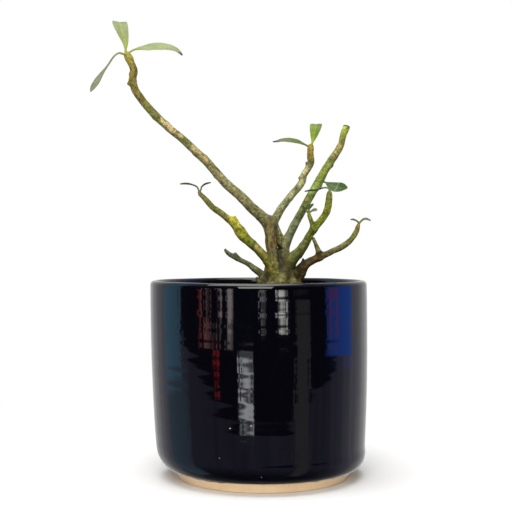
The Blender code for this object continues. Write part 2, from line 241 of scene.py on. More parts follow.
def smoothstep(value, start, end):
    """0 below start, 1 above end and 3t^2 - 2t^3 between."""
    t = np.clip((value - start) / (end - start), 0, 1)
    return t * t * (3 - 2 * t)


print("noise spread:", round(float(noise(np.random.default_rng(1).uniform(0, 99, (4000, 3)), 3.0).std()), 3))

# %% [markdown]
# ## Camera
# A 75 mm lens at a distance of 75 cm, a little above the rim, so the rim closes to a thin ellipse.

# %% Camera
CAMERA_PLACE = (-3.5, -750, 158)
CAMERA_DIP = 0.006  # radians below level

camera_data = bpy.data.cameras.new("camera")
camera_data.lens = 75
camera_data.sensor_width = 36
camera_data.clip_start = 0.05
camera_data.clip_end = 50
camera = bpy.data.objects.new("camera", camera_data)
camera.location = [value * MM for value in CAMERA_PLACE]
camera.rotation_euler = (math.pi / 2 - CAMERA_DIP, 0, 0)
bpy.context.scene.collection.objects.link(camera)
bpy.context.scene.camera = camera
bpy.context.scene.view_settings.view_transform = "Standard"
print("camera distance, mm:", -CAMERA_PLACE[1])

# %% [markdown]
# ## Studio
# A black glaze has hardly any colour of its own, so what it shows is its surroundings. The room is plain
# and pale, with a big soft light overhead and a softer one in front. For reflections only, the room holds a
# few panels: cool ones at the sides, and narrow white and red ones in front that clutter and louvres break
# up.

# %% Room
# Each panel: azimuth of its middle and its half-width in degrees, from the front towards +X, then its
# lowest and highest direction (the z of a unit vector), its colour, its strength and what breaks it up
PANELS = (
    (-102, 13, -0.17, 0.7, "#97d8ff", 1.0, "nothing"),
    (-98, 16, -0.8, -0.17, "#a6c8e4", 0.68, "nothing"),
    (93, 19, -0.103, 0.25, "#4a80ff", 1.9, "nothing"),
    (-44, 18, -0.115, 0.03, "#e8dcd8", 4.2, "clutter"),
    (-52, 12, -0.125, -0.03, "#ff4a40", 1.4, "clutter"),
    (-46, 2.4, -0.195, -0.12, "#ff5041", 1.8, "louvres"),
    (84, 9, -0.09, 0.0, "#ff3a58", 1.7, "clutter"),
    (-14, 6.5, -0.262, -0.118, "#eef0f6", 6.0, "louvres"),
    (4.5, 3.0, -0.085, -0.03, "#e8e8ee", 3.6, "louvres"),
    (23, 4.0, -0.075, -0.032, "#fbfaf6", 9.0, "louvres"),
    (45, 8, -0.8, -0.03, "#dcdae0", 0.42, "nothing"),
)
FILL_STRENGTH = 0.26
TORN_EDGE = math.radians(4.5)  # how far a panel's side edges wander
ROOM_AHEAD = "#d8d4ff"
ROOM_BEHIND = "#f4f4f2"


def build_room():
    """A world that is white to look at and pale as light. In reflections it is a room: dim in front, paler
    towards the back, darkest in front above the floor line and low down, with the panels set into it."""
    world = bpy.data.worlds.new("studio")
    bpy.context.scene.world = world
    world.use_nodes = True
    tree = world.node_tree
    tree.nodes.clear()
    way = node(tree, "ShaderNodeTexCoord").outputs["Generated"]
    split = node(tree, "ShaderNodeSeparateXYZ", {"Vector": way})
    rise = split.outputs["Z"]
    turn = calc(tree, "ARCTAN2", split.outputs["X"], calc(tree, "MULTIPLY", split.outputs["Y"], -1.0))
    aside = calc(tree, "ABSOLUTE", turn)
    back = ramp(tree, aside, math.radians(60), math.radians(165), 0.0, 1.0, "SMOOTHSTEP")
    tint = blend(tree, back, rgba(ROOM_AHEAD), rgba(ROOM_BEHIND))
    level = ramp(tree, back, 0.0, 1.0, 0.25, 0.88)
    bands = node(tree, "ShaderNodeMapping", {"Vector": way, "Scale": (9, 9, 0.6)}).outputs[0]
    level = calc(tree, "MULTIPLY", level, ramp(tree, speckle(tree, bands, 1.0, 3.0), 0.3, 0.7, 0.8, 1.2))
    level = calc(tree, "MULTIPLY", level, ramp(tree, rise, -0.85, -0.35, 0.22, 1.0))
    floor_line = calc(tree, "MAXIMUM", calc(tree, "MULTIPLY_ADD", aside, 0.14, -0.323), -0.262)
    above = ramp(tree, calc(tree, "SUBTRACT", rise, floor_line), -0.004, 0.004, 0.0, 1.0)
    above = calc(tree, "MULTIPLY", above, ramp(tree, aside, math.radians(86), math.radians(100), 1.0, 0.0))
    above = calc(tree, "MULTIPLY", above, ramp(tree, rise, 0.3, 0.6, 1.0, 0.0))
    level = calc(tree, "MULTIPLY", level, ramp(tree, above, 0.0, 1.0, 1.0, 0.12))
    room = node(tree, "ShaderNodeBackground", {"Color": tint, "Strength": level}).outputs[0]
    stretched = node(tree, "ShaderNodeMapping", {"Vector": way, "Scale": (6, 6, 34)}).outputs[0]
    torn = ramp(tree, speckle(tree, way, 26.0, 3.0), 0.3, 0.7, -TORN_EDGE, TORN_EDGE)
    wandering = calc(tree, "ADD", turn, torn)
    screens = {
        "louvres": ramp(tree, speckle(tree, stretched, 1.0, 3.0), 0.38, 0.6, 0.12, 1.0, "SMOOTHSTEP"),
        "clutter": ramp(tree, speckle(tree, way, 13.0, 6.0, 0.7), 0.5, 0.62, 0.0, 1.0, "SMOOTHSTEP"),
    }
    for azimuth, half, lowest, highest, colour, strength, screen in PANELS:
        edge = math.radians(half)
        away = calc(tree, "ABSOLUTE", calc(tree, "SUBTRACT", wandering, math.radians(azimuth)))
        off = calc(tree, "ABSOLUTE", calc(tree, "SUBTRACT", rise, (lowest + highest) / 2))
        reach = (highest - lowest) / 2
        inside = calc(
            tree, "MULTIPLY", ramp(tree, away, edge * 0.9, edge * 1.1, 1.0, 0.0),
            ramp(tree, off, reach * 0.96, reach * 1.04, 1.0, 0.0),
        )
        if screen in screens:
            inside = calc(tree, "MULTIPLY", inside, screens[screen])
        panel = node(tree, "ShaderNodeBackground", {"Color": rgba(colour), "Strength": strength}).outputs[0]
        room = node(tree, "ShaderNodeMixShader", {0: inside, 1: room, 2: panel}).outputs[0]
    ray = node(tree, "ShaderNodeLightPath")
    fill = node(tree, "ShaderNodeBackground", {"Color": (1, 1, 1, 1), "Strength": FILL_STRENGTH}).outputs[0]
    white = node(tree, "ShaderNodeBackground", {"Color": (1, 1, 1, 1), "Strength": 1.0}).outputs[0]
    seen = node(tree, "ShaderNodeMixShader", {0: ray.outputs["Is Glossy Ray"], 1: fill, 2: room}).outputs[0]
    seen = node(tree, "ShaderNodeMixShader", {0: ray.outputs["Is Camera Ray"], 1: seen, 2: white}).outputs[0]
    node(tree, "ShaderNodeOutputWorld", {"Surface": seen})
    world.cycles.sampling_method = "NONE"


build_room()

# %% Lamps
# name: place and what it faces (mm), width and height (m), watts, colour
LAMPS = {
    "overhead_softbox": ((-200, -300, 2400), (0, 0, 100), (2.2, 2.2), 66, "#ffffff"),
    "front_softbox": ((-100, -1700, 800), (0, 0, 120), (1.1, 1.1), 21, "#fffaf2"),
}
for lamp_name, (place, target, (width, height), watts, colour) in LAMPS.items():
    lamp = bpy.data.lights.new(lamp_name, "AREA")
    lamp.shape = "RECTANGLE"
    lamp.size, lamp.size_y = width, height
    lamp.energy = watts
    lamp.color = tuple(map(float, linear(colour)))
    stand = bpy.data.objects.new(lamp_name, lamp)
    stand.location = [value * MM for value in place]
    direction = Vector(target) - Vector(place)
    stand.rotation_euler = direction.to_track_quat("-Z", "Y").to_euler()
    stand.visible_camera = False
    bpy.context.scene.collection.objects.link(stand)
    print(lamp_name, watts, "W")

# %% [markdown]
# The floor is a wide pale disc just under the foot. It turns to the room's white far away, so no horizon
# shows.

# %% Floor
FLOOR_REACH = 2600
FLOOR_LEVEL = -0.2
FLOOR_COLUMNS = 96


def build_floor():
    """A flat disc of rings just under the foot, painted matt white, that glows to the room's white far
    out."""
    paint, tree, output = finish_named("matt_white_floor_paint")
    where = node(tree, "ShaderNodeTexCoord").outputs["Object"]
    far = node(tree, "ShaderNodeVectorMath", {0: where}, operation="LENGTH").outputs["Value"]
    fade = ramp(tree, far, 0.075, 0.42, 0.0, 1.0)
    matt = node(tree, "ShaderNodeBsdfDiffuse", {"Color": rgba("#f4f4f4")}).outputs[0]
    glow = node(tree, "ShaderNodeEmission", {"Color": (1, 1, 1, 1), "Strength": 1.0}).outputs[0]
    both = node(tree, "ShaderNodeMixShader", {0: fade, 1: matt, 2: glow}).outputs[0]
    tree.links.new(both, output.inputs["Surface"])
    turn = np.linspace(0, math.tau, FLOOR_COLUMNS, endpoint=False)
    radius = np.array([0.5, 60, 160, 400, 900, FLOOR_REACH])[::-1, None]
    level = np.full((len(radius), FLOOR_COLUMNS), FLOOR_LEVEL)
    rings = np.stack([radius * np.cos(turn), radius * np.sin(turn), level], -1)
    vertices, faces = closed_skin(rings)
    # The fan over the outermost ring is left out: only the innermost ring is filled
    floor = shell("floor", vertices, faces[:-2 * FLOOR_COLUMNS] + faces[-FLOOR_COLUMNS:], paint)
    floor.visible_glossy = False


build_floor()

# %% [markdown]
# ## Pot
# The pot was thrown on a wheel, so its wall carries shallow spiral ridges left by the thrower's fingers.
# They and the wall's slow waviness are a few hundredths to a tenth of a millimetre high, yet they break
# every reflection into steps, so they are real geometry here. The glaze stops in a soft edge above a
# narrower foot of bare buff clay.

# %% Pot: sizes and section
POT_HEIGHT = 136.6
RIM_RADIUS = 75.8
SHOULDER_RADIUS = 73.0
SHOULDER_HEIGHT = 20.0
FULL_WIDTH_HEIGHT = 110.0
FOOT_RADIUS = 59.8
FOOT_TOP_RADIUS = 62.6
FOOT_HEIGHT = 6.5
GLAZE_RADIUS = 63.0
WALL = 5.4
LIP_BASE = 133.4
FLOOR_TOP = 8.0
FLOOR_FILLET = 14.0
RIM_SHIFT = -1.8
FOOT_SHIFT = 1.6
FOOT_SHIFT_TOP = 24.0
POT_COLUMNS = 240


def lean(z):
    """How far off centre in X the pot is at a height: in proportion to z, plus the foot's own shift, which
    dies away up the shoulder as 1 - (3 t^2 - 2 t^3)."""
    return RIM_SHIFT / POT_HEIGHT * z + FOOT_SHIFT * (1 - smoothstep(z, FOOT_HEIGHT, FOOT_SHIFT_TOP))


def wall_radius(z):
    """The wall's outside: the rim radius less 2.8 mm times the square of how far z has dropped below full
    width."""
    below = np.clip(FULL_WIDTH_HEIGHT - z, 0, None) / (FULL_WIDTH_HEIGHT - SHOULDER_HEIGHT)
    return RIM_RADIUS - (RIM_RADIUS - SHOULDER_RADIUS) * below**2


def ellipse(centre, across, up, start, end, count):
    """Points (radius, z) of an ellipse about its centre, between two angles in degrees."""
    angle = np.radians(np.linspace(start, end, count))
    return np.column_stack([centre[0] + across * np.cos(angle), centre[1] + up * np.sin(angle)])


def straight(start, end, count):
    """Evenly spaced (radius, z) points from start to end."""
    return np.linspace(start, end, count)


def pot_section():
    """The half section from under the foot, up the outside, over the lip and down the inside to the
    floor."""
    heights = np.arange(SHOULDER_HEIGHT + 0.7, LIP_BASE - 0.4, 0.75)
    outside = np.column_stack([wall_radius(heights), heights])
    inner_foot = wall_radius(FLOOR_TOP + FLOOR_FILLET) - WALL - FLOOR_FILLET
    deep = np.arange(LIP_BASE - 1, FLOOR_TOP + FLOOR_FILLET, -1.6)
    inside = np.column_stack([wall_radius(deep) - WALL, deep])
    return np.concatenate([
        straight((0.6, 0), (FOOT_RADIUS - 0.8, 0), 26),
        ellipse((FOOT_RADIUS - 0.8, 0.8), 0.8, 0.8, -75, 0, 5),
        straight((FOOT_RADIUS + 0.3, 1.6), (FOOT_TOP_RADIUS, FOOT_HEIGHT), 9),
        straight((GLAZE_RADIUS - 0.25, FOOT_HEIGHT), (GLAZE_RADIUS + 0.1, FOOT_HEIGHT + 0.05), 2),
        ellipse(
            (GLAZE_RADIUS, SHOULDER_HEIGHT),
            SHOULDER_RADIUS - GLAZE_RADIUS, SHOULDER_HEIGHT - FOOT_HEIGHT, -86, 0, 40
        ),
        outside,
        ellipse((RIM_RADIUS - WALL / 2, LIP_BASE), WALL / 2, POT_HEIGHT - LIP_BASE, 0, 180, 20),
        inside,
        ellipse((inner_foot, FLOOR_TOP + FLOOR_FILLET), FLOOR_FILLET, FLOOR_FILLET, 0, -90, 14),
        straight((inner_foot - 2, FLOOR_TOP), (0.6, FLOOR_TOP), 26),
    ])


section = pot_section()
print("pot section:", len(section), "points,", round(float(section[:, 1].max()), 1), "mm high")

# %% Pot: throwing ridges
MAIN_PITCH = 11.0
FINE_PITCH = 5.2
MAIN_HEIGHT = 0.021
FINE_HEIGHT = 0.007


def throwing_ridges(turn, z):
    """Height of the ridges in mm: two sines of z, each rising one pitch per turn, their phase wandering
    with noise."""
    place = np.stack([40 * np.cos(turn), 40 * np.sin(turn), z], -1)
    wander = noise(place * (1, 1, 1.6), 46, 5) * 2.2
    spiral = z + MAIN_PITCH * turn / math.tau
    main = np.sin(math.tau * spiral / MAIN_PITCH + wander)
    fine = np.sin(math.tau * (z + FINE_PITCH * turn / math.tau) / FINE_PITCH + wander * 1.7)
    strength = 0.65 + 0.35 * noise(place, 30, 6)
    ridges = strength * (MAIN_HEIGHT * main + FINE_HEIGHT * fine)
    return ridges + 0.12 * noise(place, 34, 7) + 0.03 * noise(place, 8, 12)


def pot_rings():
    """Rings of the section about the leaning axis: radius plus ridges on the wall, and a wavering glaze
    edge."""
    turn = np.linspace(0, math.tau, POT_COLUMNS, endpoint=False)
    radius = np.repeat(section[:, :1], POT_COLUMNS, 1)
    z = np.repeat(section[:, 1:], POT_COLUMNS, 1)
    angle = np.repeat(turn[None], len(section), 0)
    row = np.arange(len(section))[:, None]
    top = int(np.argmax(section[:, 1]))
    on_wall = smoothstep(z, 16, 36) * (1 - smoothstep(z, 124, 133))
    side = np.where(row <= top, 1.0, -0.6)
    radius = radius + on_wall * side * throwing_ridges(angle, z)
    place = np.stack([radius * np.cos(angle), radius * np.sin(angle), z], -1)
    at_edge = (np.abs(z - FOOT_HEIGHT) < 0.6) & (row <= top)
    z = z + np.where(at_edge, 0.35 * noise(place, 7, 8) + 0.2 * noise(place, 2.5, 9), 0)
    near_lip = smoothstep(z, 128, 136)
    z = z + near_lip * (0.16 * noise(place, 25, 10) - 0.16)
    return np.stack([radius * np.cos(angle) + lean(z), radius * np.sin(angle), z], -1)


# %% [markdown]
# The glaze is a brown-black stoneware glaze with cobalt in it. Its glassy coat has an index of about 1.5
# and is very smooth, so it is almost black with a blue cast. Where it thins, at its lower edge, it turns
# brown. Below it the bare clay is buff and matt, with fine grog.


# %% Pot: glaze and clay
GLAZE_LINE = 0.0062  # metres, as the shader measures


def glazed_stoneware():
    """One shader for the whole pot: bare clay below the glaze line, glaze above, and a thin brown edge
    between."""
    finish, tree, output = finish_named("cobalt_black_glaze_on_buff_stoneware")
    where = node(tree, "ShaderNodeTexCoord").outputs["Object"]
    split = node(tree, "ShaderNodeSeparateXYZ", {"Vector": where})
    height = split.outputs["Z"]
    waver = ramp(tree, speckle(tree, where, 90.0, 3.0), 0.0, 1.0, -0.0006, 0.0006)
    level = calc(tree, "ADD", height, waver)
    glazed = ramp(tree, level, GLAZE_LINE, GLAZE_LINE + 0.0004, 0.0, 1.0)
    thick = ramp(tree, level, GLAZE_LINE, GLAZE_LINE + 0.003, 0.0, 1.0)
    glaze = blend(tree, speckle(tree, where, 38.0, 4.0), rgba("#010104"), rgba("#04040a"))
    thin = blend(tree, thick, rgba("#2c2016"), glaze)
    grog = speckle(tree, where, 900.0, 4.0)
    clay = blend(tree, speckle(tree, where, 60.0, 3.0), rgba("#e3c096"), rgba("#f7e0bd"))
    clay = blend(tree, ramp(tree, grog, 0.62, 0.7, 0.0, 0.35), clay, rgba("#a77f58"))
    base = blend(tree, glazed, clay, thin)
    # Pinholes: burst bubbles some 0.7 mm across in cells of 3.3 mm, mostly low on the wall
    rarity = ramp(tree, height, 0.010, 0.030, 0.86, 0.994)
    spot = calc(tree, "MULTIPLY", dots(tree, where, 300.0, 0.08, 0.13, rarity), glazed)
    base = blend(tree, spot, base, rgba("#cfd2d8"))
    rough = ramp(tree, glazed, 0.0, 1.0, 0.85, 0.045)
    grain = calc(tree, "MULTIPLY", grog, ramp(tree, glazed, 0.0, 1.0, 1.0, 0.0))
    coat(tree, output, base, rough, 1.5, grain, 0.5, 0.0003)
    return finish


# %% Pot: build
DRAIN_RADIUS = 4.5
DRAIN_CIRCLE = 30.0
DRAIN_TURNS = (30, 150, 270)
DRAIN_COLUMNS = 40


def cut_drains(pot):
    """Bores the three drain holes: a Boolean with closed cylinders, applied so the piece is a plain
    mesh."""
    turn = np.linspace(0, math.tau, DRAIN_COLUMNS, endpoint=False)
    skins = []
    for angle in DRAIN_TURNS:
        middle = DRAIN_CIRCLE * np.array([math.cos(math.radians(angle)), math.sin(math.radians(angle))])
        across = DRAIN_RADIUS * np.column_stack([np.cos(turn), np.sin(turn)]) + middle
        rings = [np.column_stack([across, np.full(DRAIN_COLUMNS, z)]) for z in (-8.0, 4.0, 16.0)]
        skins.append(closed_skin(np.stack(rings)))
    bore = shell("drain_bore", *joined(skins))
    modifier = pot.modifiers.new("drains", "BOOLEAN")
    modifier.operation, modifier.solver, modifier.object = "DIFFERENCE", "EXACT", bore
    graph = bpy.context.evaluated_depsgraph_get()
    bored = bpy.data.meshes.new_from_object(pot.evaluated_get(graph))
    pot.modifiers.clear()
    pot.data = bored
    bpy.data.objects.remove(bore)


pot_vertices, pot_faces = closed_skin(pot_rings())
pot = shell("glazed_pot", pot_vertices, pot_faces, glazed_stoneware())
cut_drains(pot)
stands_for(pot, "pot_glaze", "pot")

# %% [markdown]
# ## Woody plant
# Caudex, roots and branches grew as one body. Caudex and branches get one skin, and the roots under the mix
# their own.
# Each stem is a chain of round sections along a route. The skin is where the smooth minimum of the distances
# to all
# stems is zero: near a fork the distances mix, and the bark flows from one stem into the next. A voxel remesh
# of plain tubes gives an even mesh to start from, and every point then slides onto that surface.

# %% Routes of the stems
# (x, y, z, radius) in millimetres, the same stations as the CAD model
CAUDEX = (
    (13, 2, 78, 8), (13, 2, 88, 14), (13, 2, 100, 18.5), (13, 2, 112, 20), (13, 2, 121, 19),
    (13, 1.5, 129, 16),
    (13, 1, 136, 12.5), (12.5, 1, 144, 9.8), (12, 1, 151, 8), (12, 1, 156, 5),
)
ROOTS = {
    "tap_root": ((13, 2, 84, 9), (11, 4, 62, 5), (14, 2, 42, 3), (12, 0, 24, 1.6)),
    "left_root": ((8, 0, 94, 8), (-8, -6, 80, 5), (-28, -16, 62, 3.5), (-42, -22, 46, 2)),
    "right_root": ((18, 4, 92, 8), (34, 12, 74, 5), (46, 20, 54, 3), (50, 24, 38, 1.8)),
    "front_root": ((12, -2, 90, 8), (10, -18, 68, 5), (14, -34, 48, 3), (12, -42, 32, 1.8)),
}
STEMS = {
    "left_strand": (
        (10, 0, 142, 6), (9, 0, 150, 4.6), (8, 0, 156, 4), (6.8, 0, 163, 3.9), (6.6, 0.5, 170, 4),
        (6, 1.5, 177, 4.4),
    ),
    "right_strand": (
        (16, 2, 142, 6), (16.8, 3, 151, 4.4), (16.6, 3, 156, 3.7), (15, 3, 162, 3.5), (12, 3, 168, 3.5),
        (8.8, 3, 174.5, 3.6),
        (6.5, 2.5, 179.5, 3.4),
    ),
    "long_branch": (
        (6.5, 2, 174, 4), (5, 2, 177, 4.4), (1, 1.5, 180.8, 4), (-7, 0.5, 188, 3.7), (-15, -0.5, 196, 3.5),
        (-23.5, -1.5, 203.3, 3.2), (-31, -2.5, 211.5, 3.1), (-38.5, -4, 220, 2.9),
        (-46.5, -5.5, 227.3, 2.8),
        (-54.5, -7.5, 234.8, 2.7), (-63, -9.5, 241.6, 2.7), (-71, -11.5, 248.7, 2.7),
        (-78.3, -13, 256.6, 2.7),
        (-84.8, -15, 264.7, 2.6), (-87.2, -16, 269.8, 2.6), (-88.2, -17, 275, 2.6),
        (-86.9, -18, 280.3, 2.5),
        (-88.6, -18.5, 285, 2.5), (-90.8, -19.5, 289.5, 2.8), (-92.2, -20, 292.6, 1.9),
    ),
    "middle_branch": (
        (7, 4, 175, 3.4), (10, 6.5, 179.5, 3.1), (14.2, 10, 186.7, 2.8), (20.3, 14, 195, 2.6),
        (27, 18, 202.7, 2.6),
        (29.8, 19.5, 207, 2.5), (31.2, 21, 212, 2.4), (33.9, 22.5, 216.5, 2.4), (36.4, 24.5, 221.2, 2.5),
        (36, 26, 226.6, 2.4), (36.3, 27.5, 231.5, 2.4), (36.5, 28, 234, 1.8),
    ),
    "tall_branch": (
        (15.5, 3, 157, 3.4), (17.5, 4, 162, 3.2), (20.2, 5, 168.3, 3), (25.3, 7, 178.4, 2.9),
        (31, 9, 188.4, 2.8),
        (37.5, 11, 200.3, 2.9), (41.4, 12.5, 206.6, 3), (48.3, 16, 218.7, 2.8), (55, 19, 228.5, 2.6),
        (58, 20.5, 234, 2.4), (59.3, 22, 239.6, 2.4), (61.5, 23.5, 245.2, 2.6), (62.3, 24, 247.6, 2.6),
    ),
    "front_branch": (
        (15, 0, 142, 6), (19.5, -3, 148.5, 4.8), (23, -5.5, 153, 4.2), (26.6, -7.5, 156.4, 3.6),
        (29.5, -10, 160.3, 3.2),
        (31.8, -12.5, 164.5, 2.8), (33.9, -14.5, 168.7, 2.6), (36.7, -17, 172.8, 2.6),
        (39.7, -18, 176.3, 2.4),
        (42.7, -19.5, 180, 2.4), (45, -20.5, 184.2, 2.4), (46, -21.5, 188.8, 2.4), (46.3, -23, 193.5, 2.2),
        (46.5, -24, 197.5, 1.8),
    ),
    "front_branch_shoot": (
        (36.6, -16, 172, 1.9), (35.3, -16.5, 175, 1.5), (34.2, -17, 178, 1.4), (33.1, -18, 181, 1.3),
        (32.4, -19, 183.6, 1),
    ),
    "right_branch": (
        (16, 1, 132, 8), (21.5, 0, 135, 6), (25, -1, 138.5, 5), (27.3, -2, 142, 4.4),
        (29.3, -3, 145.5, 3.7),
        (32, -4, 148.2, 3.1), (35.5, -5, 150.2, 2.7), (40, -6, 152.5, 2.4), (46.5, -7.5, 155.2, 2.1),
        (50.3, -8.5, 157.3, 2), (54, -9.5, 158.8, 2), (57.6, -10, 160.9, 2.1), (60.9, -10.5, 163.4, 2),
        (63.5, -11, 166.5, 1.8), (65.7, -11.5, 170, 1.8), (67, -11.7, 173.5, 1.5), (67.7, -12, 176, 1),
    ),
    "right_branch_stub": (
        (41, -6.2, 152.5, 2), (40, -6, 156.8, 1.7), (38.3, -5, 161.5, 1.4), (36.4, -4, 166.2, 1.1),
    ),
    "left_branch": (
        (12, -4, 132, 5), (11, -7.5, 138.2, 3.6), (7.1, -10, 145.6, 3.2), (2.5, -12, 152.6, 3.1),
        (-3, -13, 158.8, 3),
        (-6.2, -13.2, 161.5, 3.1), (-9.2, -13.4, 164.3, 3.3), (-12, -13.5, 167, 3.7),
        (-14.6, -13.7, 170.6, 3.5),
        (-17.1, -14, 174.8, 2.7), (-18.9, -14, 178.5, 2.4), (-19.7, -14, 180.6, 2.3),
    ),
    "left_branch_shoot": (
        (-14, -14, 171, 2.6), (-18.4, -15, 175.4, 2.3), (-23.6, -15.5, 179.8, 2.2),
        (-26.9, -16, 182.5, 2.1),
        (-30.2, -16.5, 184.8, 2.1), (-33.4, -17.2, 187.2, 2), (-36.1, -17.7, 190.2, 1.9),
        (-38.9, -18.2, 193.2, 1.8),
        (-41.6, -18.8, 196, 1.5), (-42.5, -19, 197.8, 1.1),
    ),
    "back_branch": (
        (9, 3, 130, 5), (6.4, 3.5, 134, 3.8), (3.7, 4.2, 137.3, 3.2), (0.8, 5.3, 140, 2.8),
        (-2.4, 6.5, 142.9, 2.4),
        (-5.7, 7.6, 145.4, 2.1), (-9.2, 8.8, 147.9, 1.8), (-13, 10, 149.8, 1.7), (-16.8, 11.2, 151.6, 1.6),
        (-20.6, 12.3, 153.5, 1.6), (-24, 13.4, 155.8, 1.4), (-25.9, 14, 158.2, 1),
    ),
    "back_branch_spur": ((-16.4, 11.2, 151.8, 1.2), (-18.4, 12, 155.5, 0.8)),
    "low_stub": ((3.5, -5, 132.5, 2.6), (-0.5, -7, 136, 1.8), (-3.3, -8, 138.2, 1.2)),
    "dead_spike": ((28, -5, 145.5, 1.5), (29, -6.8, 149.5, 0.9), (29.5, -7.4, 151.8, 0.5)),
}
PRUNED = ("tall_branch", "left_branch")

# %% Bark colours
# Each stem's colours from its base to its tip, as shares of its length
BARK_TONES = {
    "caudex": ((0, "#6e6640"), (0.55, "#6e6640"), (0.72, "#76703f"), (0.85, "#6c6440"), (1, "#665c3c")),
    "left_strand": ((0, "#84794e"), (0.35, "#96865c"), (0.6, "#7c6844"), (1, "#857a55")),
    "right_strand": ((0, "#88845a"), (0.5, "#9a976a"), (1, "#94926c")),
    "long_branch": (
        (0, "#8b8566"), (0.08, "#827c5c"), (0.25, "#958f72"), (0.42, "#958c68"), (0.5, "#86845a"),
        (0.62, "#96895c"),
        (0.72, "#8d8a4e"), (0.82, "#8c7e40"), (0.93, "#8f8040"), (0.97, "#ae9a45"), (1, "#b5ab58"),
    ),
    "middle_branch": (
        (0, "#7c7d58"), (0.3, "#898a6c"), (0.55, "#93946c"), (0.7, "#979470"), (0.82, "#7c7338"),
        (0.93, "#94802f"),
        (1, "#8f8a2c"),
    ),
    "tall_branch": (
        (0, "#76766a"), (0.2, "#747a5c"), (0.35, "#70793e"), (0.5, "#7a8446"), (0.62, "#7b8a36"),
        (0.75, "#868448"),
        (0.86, "#8b8b44"), (0.94, "#9cab3c"), (1, "#a9b552"),
    ),
    "front_branch": (
        (0, "#66623a"), (0.25, "#6e7246"), (0.4, "#75763c"), (0.58, "#7f8c2e"), (0.72, "#8a9a26"),
        (0.85, "#868b24"),
        (1, "#96964c"),
    ),
    "front_branch_shoot": ((0, "#7c8434"), (0.5, "#7f7a30"), (1, "#90a04a")),
    "right_branch": (
        (0, "#6a5c34"), (0.25, "#5c4a2c"), (0.45, "#664f34"), (0.6, "#6a6748"), (0.75, "#77764e"),
        (0.9, "#82803c"),
        (1, "#8c8040"),
    ),
    "right_branch_stub": ((0, "#6f6140"), (1, "#8a8a5a")),
    "left_branch": (
        (0, "#94905a"), (0.22, "#a39a5c"), (0.42, "#7a7c2c"), (0.6, "#6f7718"), (0.8, "#9c9c34"),
        (0.93, "#b8b236"),
        (1, "#c0b040"),
    ),
    "left_branch_shoot": (
        (0, "#96963a"), (0.3, "#7d7640"), (0.6, "#757a38"), (0.85, "#868048"), (1, "#8a7a50"),
    ),
    "back_branch": ((0, "#4a4a2c"), (0.4, "#5c5f40"), (0.7, "#6e7156"), (1, "#6a6c54")),
    "back_branch_spur": ((0, "#4a4a30"), (1, "#5a5a40")),
    "low_stub": ((0, "#5a5434"), (1, "#6f6a44")),
    "dead_spike": ((0, "#463f28"), (1, "#38331f")),
}
SCAR_TAN = linear("#b39a72")
# Dark bark of nubs and specks, also the colour of the painted shade in forks and hollows
NODE_AND_SHADE_DARK = linear("#37331c")
PITH_GREEN = linear("#b7bf6c")
PRUNED_RIM = linear("#4a3a22")


def stem_tone(name, share):
    """Linear colour at each share of a stem's length, between that stem's stops."""
    stops = BARK_TONES[name]
    colours = np.array([linear(code) for _, code in stops])
    at = [stop for stop, _ in stops]
    return np.column_stack([np.interp(share, at, colours[:, i]) for i in range(3)])


# %% A smooth route
def smooth_route(stations, step):
    """Catmull-Rom curve through the stations, sampled about every step mm: each cubic passes through two of
    them with the slope of the chord between their neighbours."""
    points = np.array(stations, float)
    padded = np.concatenate([[2 * points[0] - points[1]], points, [2 * points[-1] - points[-2]]])
    before, start, end, after = padded[:-3], padded[1:-2], padded[2:-1], padded[3:]
    pieces = []
    for a, b, c, d in zip(before, start, end, after):
        count = max(2, int(np.linalg.norm((c - b)[:3]) / step) + 1)
        t = np.linspace(0, 1, count, endpoint=False)[:, None]
        pieces.append(0.5 * (
            2 * b + (c - a) * t + (2 * a - 5 * b + 4 * c - d) * t**2 + (3 * b - a - 3 * c + d) * t**3
        ))
    return np.concatenate([*pieces, points[-1:]])


def frames_along(route):
    """Unit directions along a route and two sideways axes that turn as little as possible from point to
    point."""
    ahead = np.gradient(route, axis=0)
    ahead /= np.linalg.norm(ahead, axis=1, keepdims=True)
    side = np.cross(ahead[0], (0.3, 1, 0.2))
    sides = []
    for direction in ahead:
        side = side - direction * (side @ direction)
        side = side / np.linalg.norm(side)
        sides.append(side)
    sides = np.array(sides)
    return ahead, sides, np.cross(ahead, sides)


def tube_skin(stations, columns):
    """Closed tube: at each point of the route, a circle of the route's radius in its two sideways axes."""
    route = smooth_route(stations, 2.0)
    _, side, up = frames_along(route[:, :3])
    turn = np.linspace(0, math.tau, columns, endpoint=False)[None, :, None]
    rings = route[:, None, :3] + route[:, None, 3:] * (
        side[:, None] * np.cos(turn) + up[:, None] * np.sin(turn)
    )
    return closed_skin(rings)


# %% Start mesh
def remeshed(vertices, faces, voxel):
    """Points and quads of the union's outer skin, on a lattice of that many millimetres."""
    rough = shell("rough_union", vertices, faces)
    modifier = rough.modifiers.new("union", "REMESH")
    modifier.mode = "VOXEL"
    modifier.voxel_size = voxel * MM
    mesh = bpy.data.meshes.new_from_object(rough.evaluated_get(bpy.context.evaluated_depsgraph_get()))
    points = np.empty(len(mesh.vertices) * 3)
    mesh.vertices.foreach_get("co", points)
    quads = [list(face.vertices) for face in mesh.polygons]
    bpy.data.objects.remove(rough)
    return points.reshape(-1, 3) / MM, quads


BARK_VOXEL = 0.5
above = tuple(station for station in CAUDEX if station[2] > 105)
skins = [tube_skin(above, 40)] + [tube_skin(stations, 20) for stations in STEMS.values()]
bark_points, bark_faces = remeshed(*joined(skins), BARK_VOXEL)
print("bark start mesh:", len(bark_points), "points")

# %% [markdown]
# The distance from a point to a stem is the distance to the nearest cone-shaped link of its chain, less the
# radius there. The same sum tells how far along the stem the point lies and which way is out, which later
# places colours, rings and leaf scars.

# %% Distance to the stems
BLEND = 0.9  # mm over which two stems melt together
FAR = 50.0


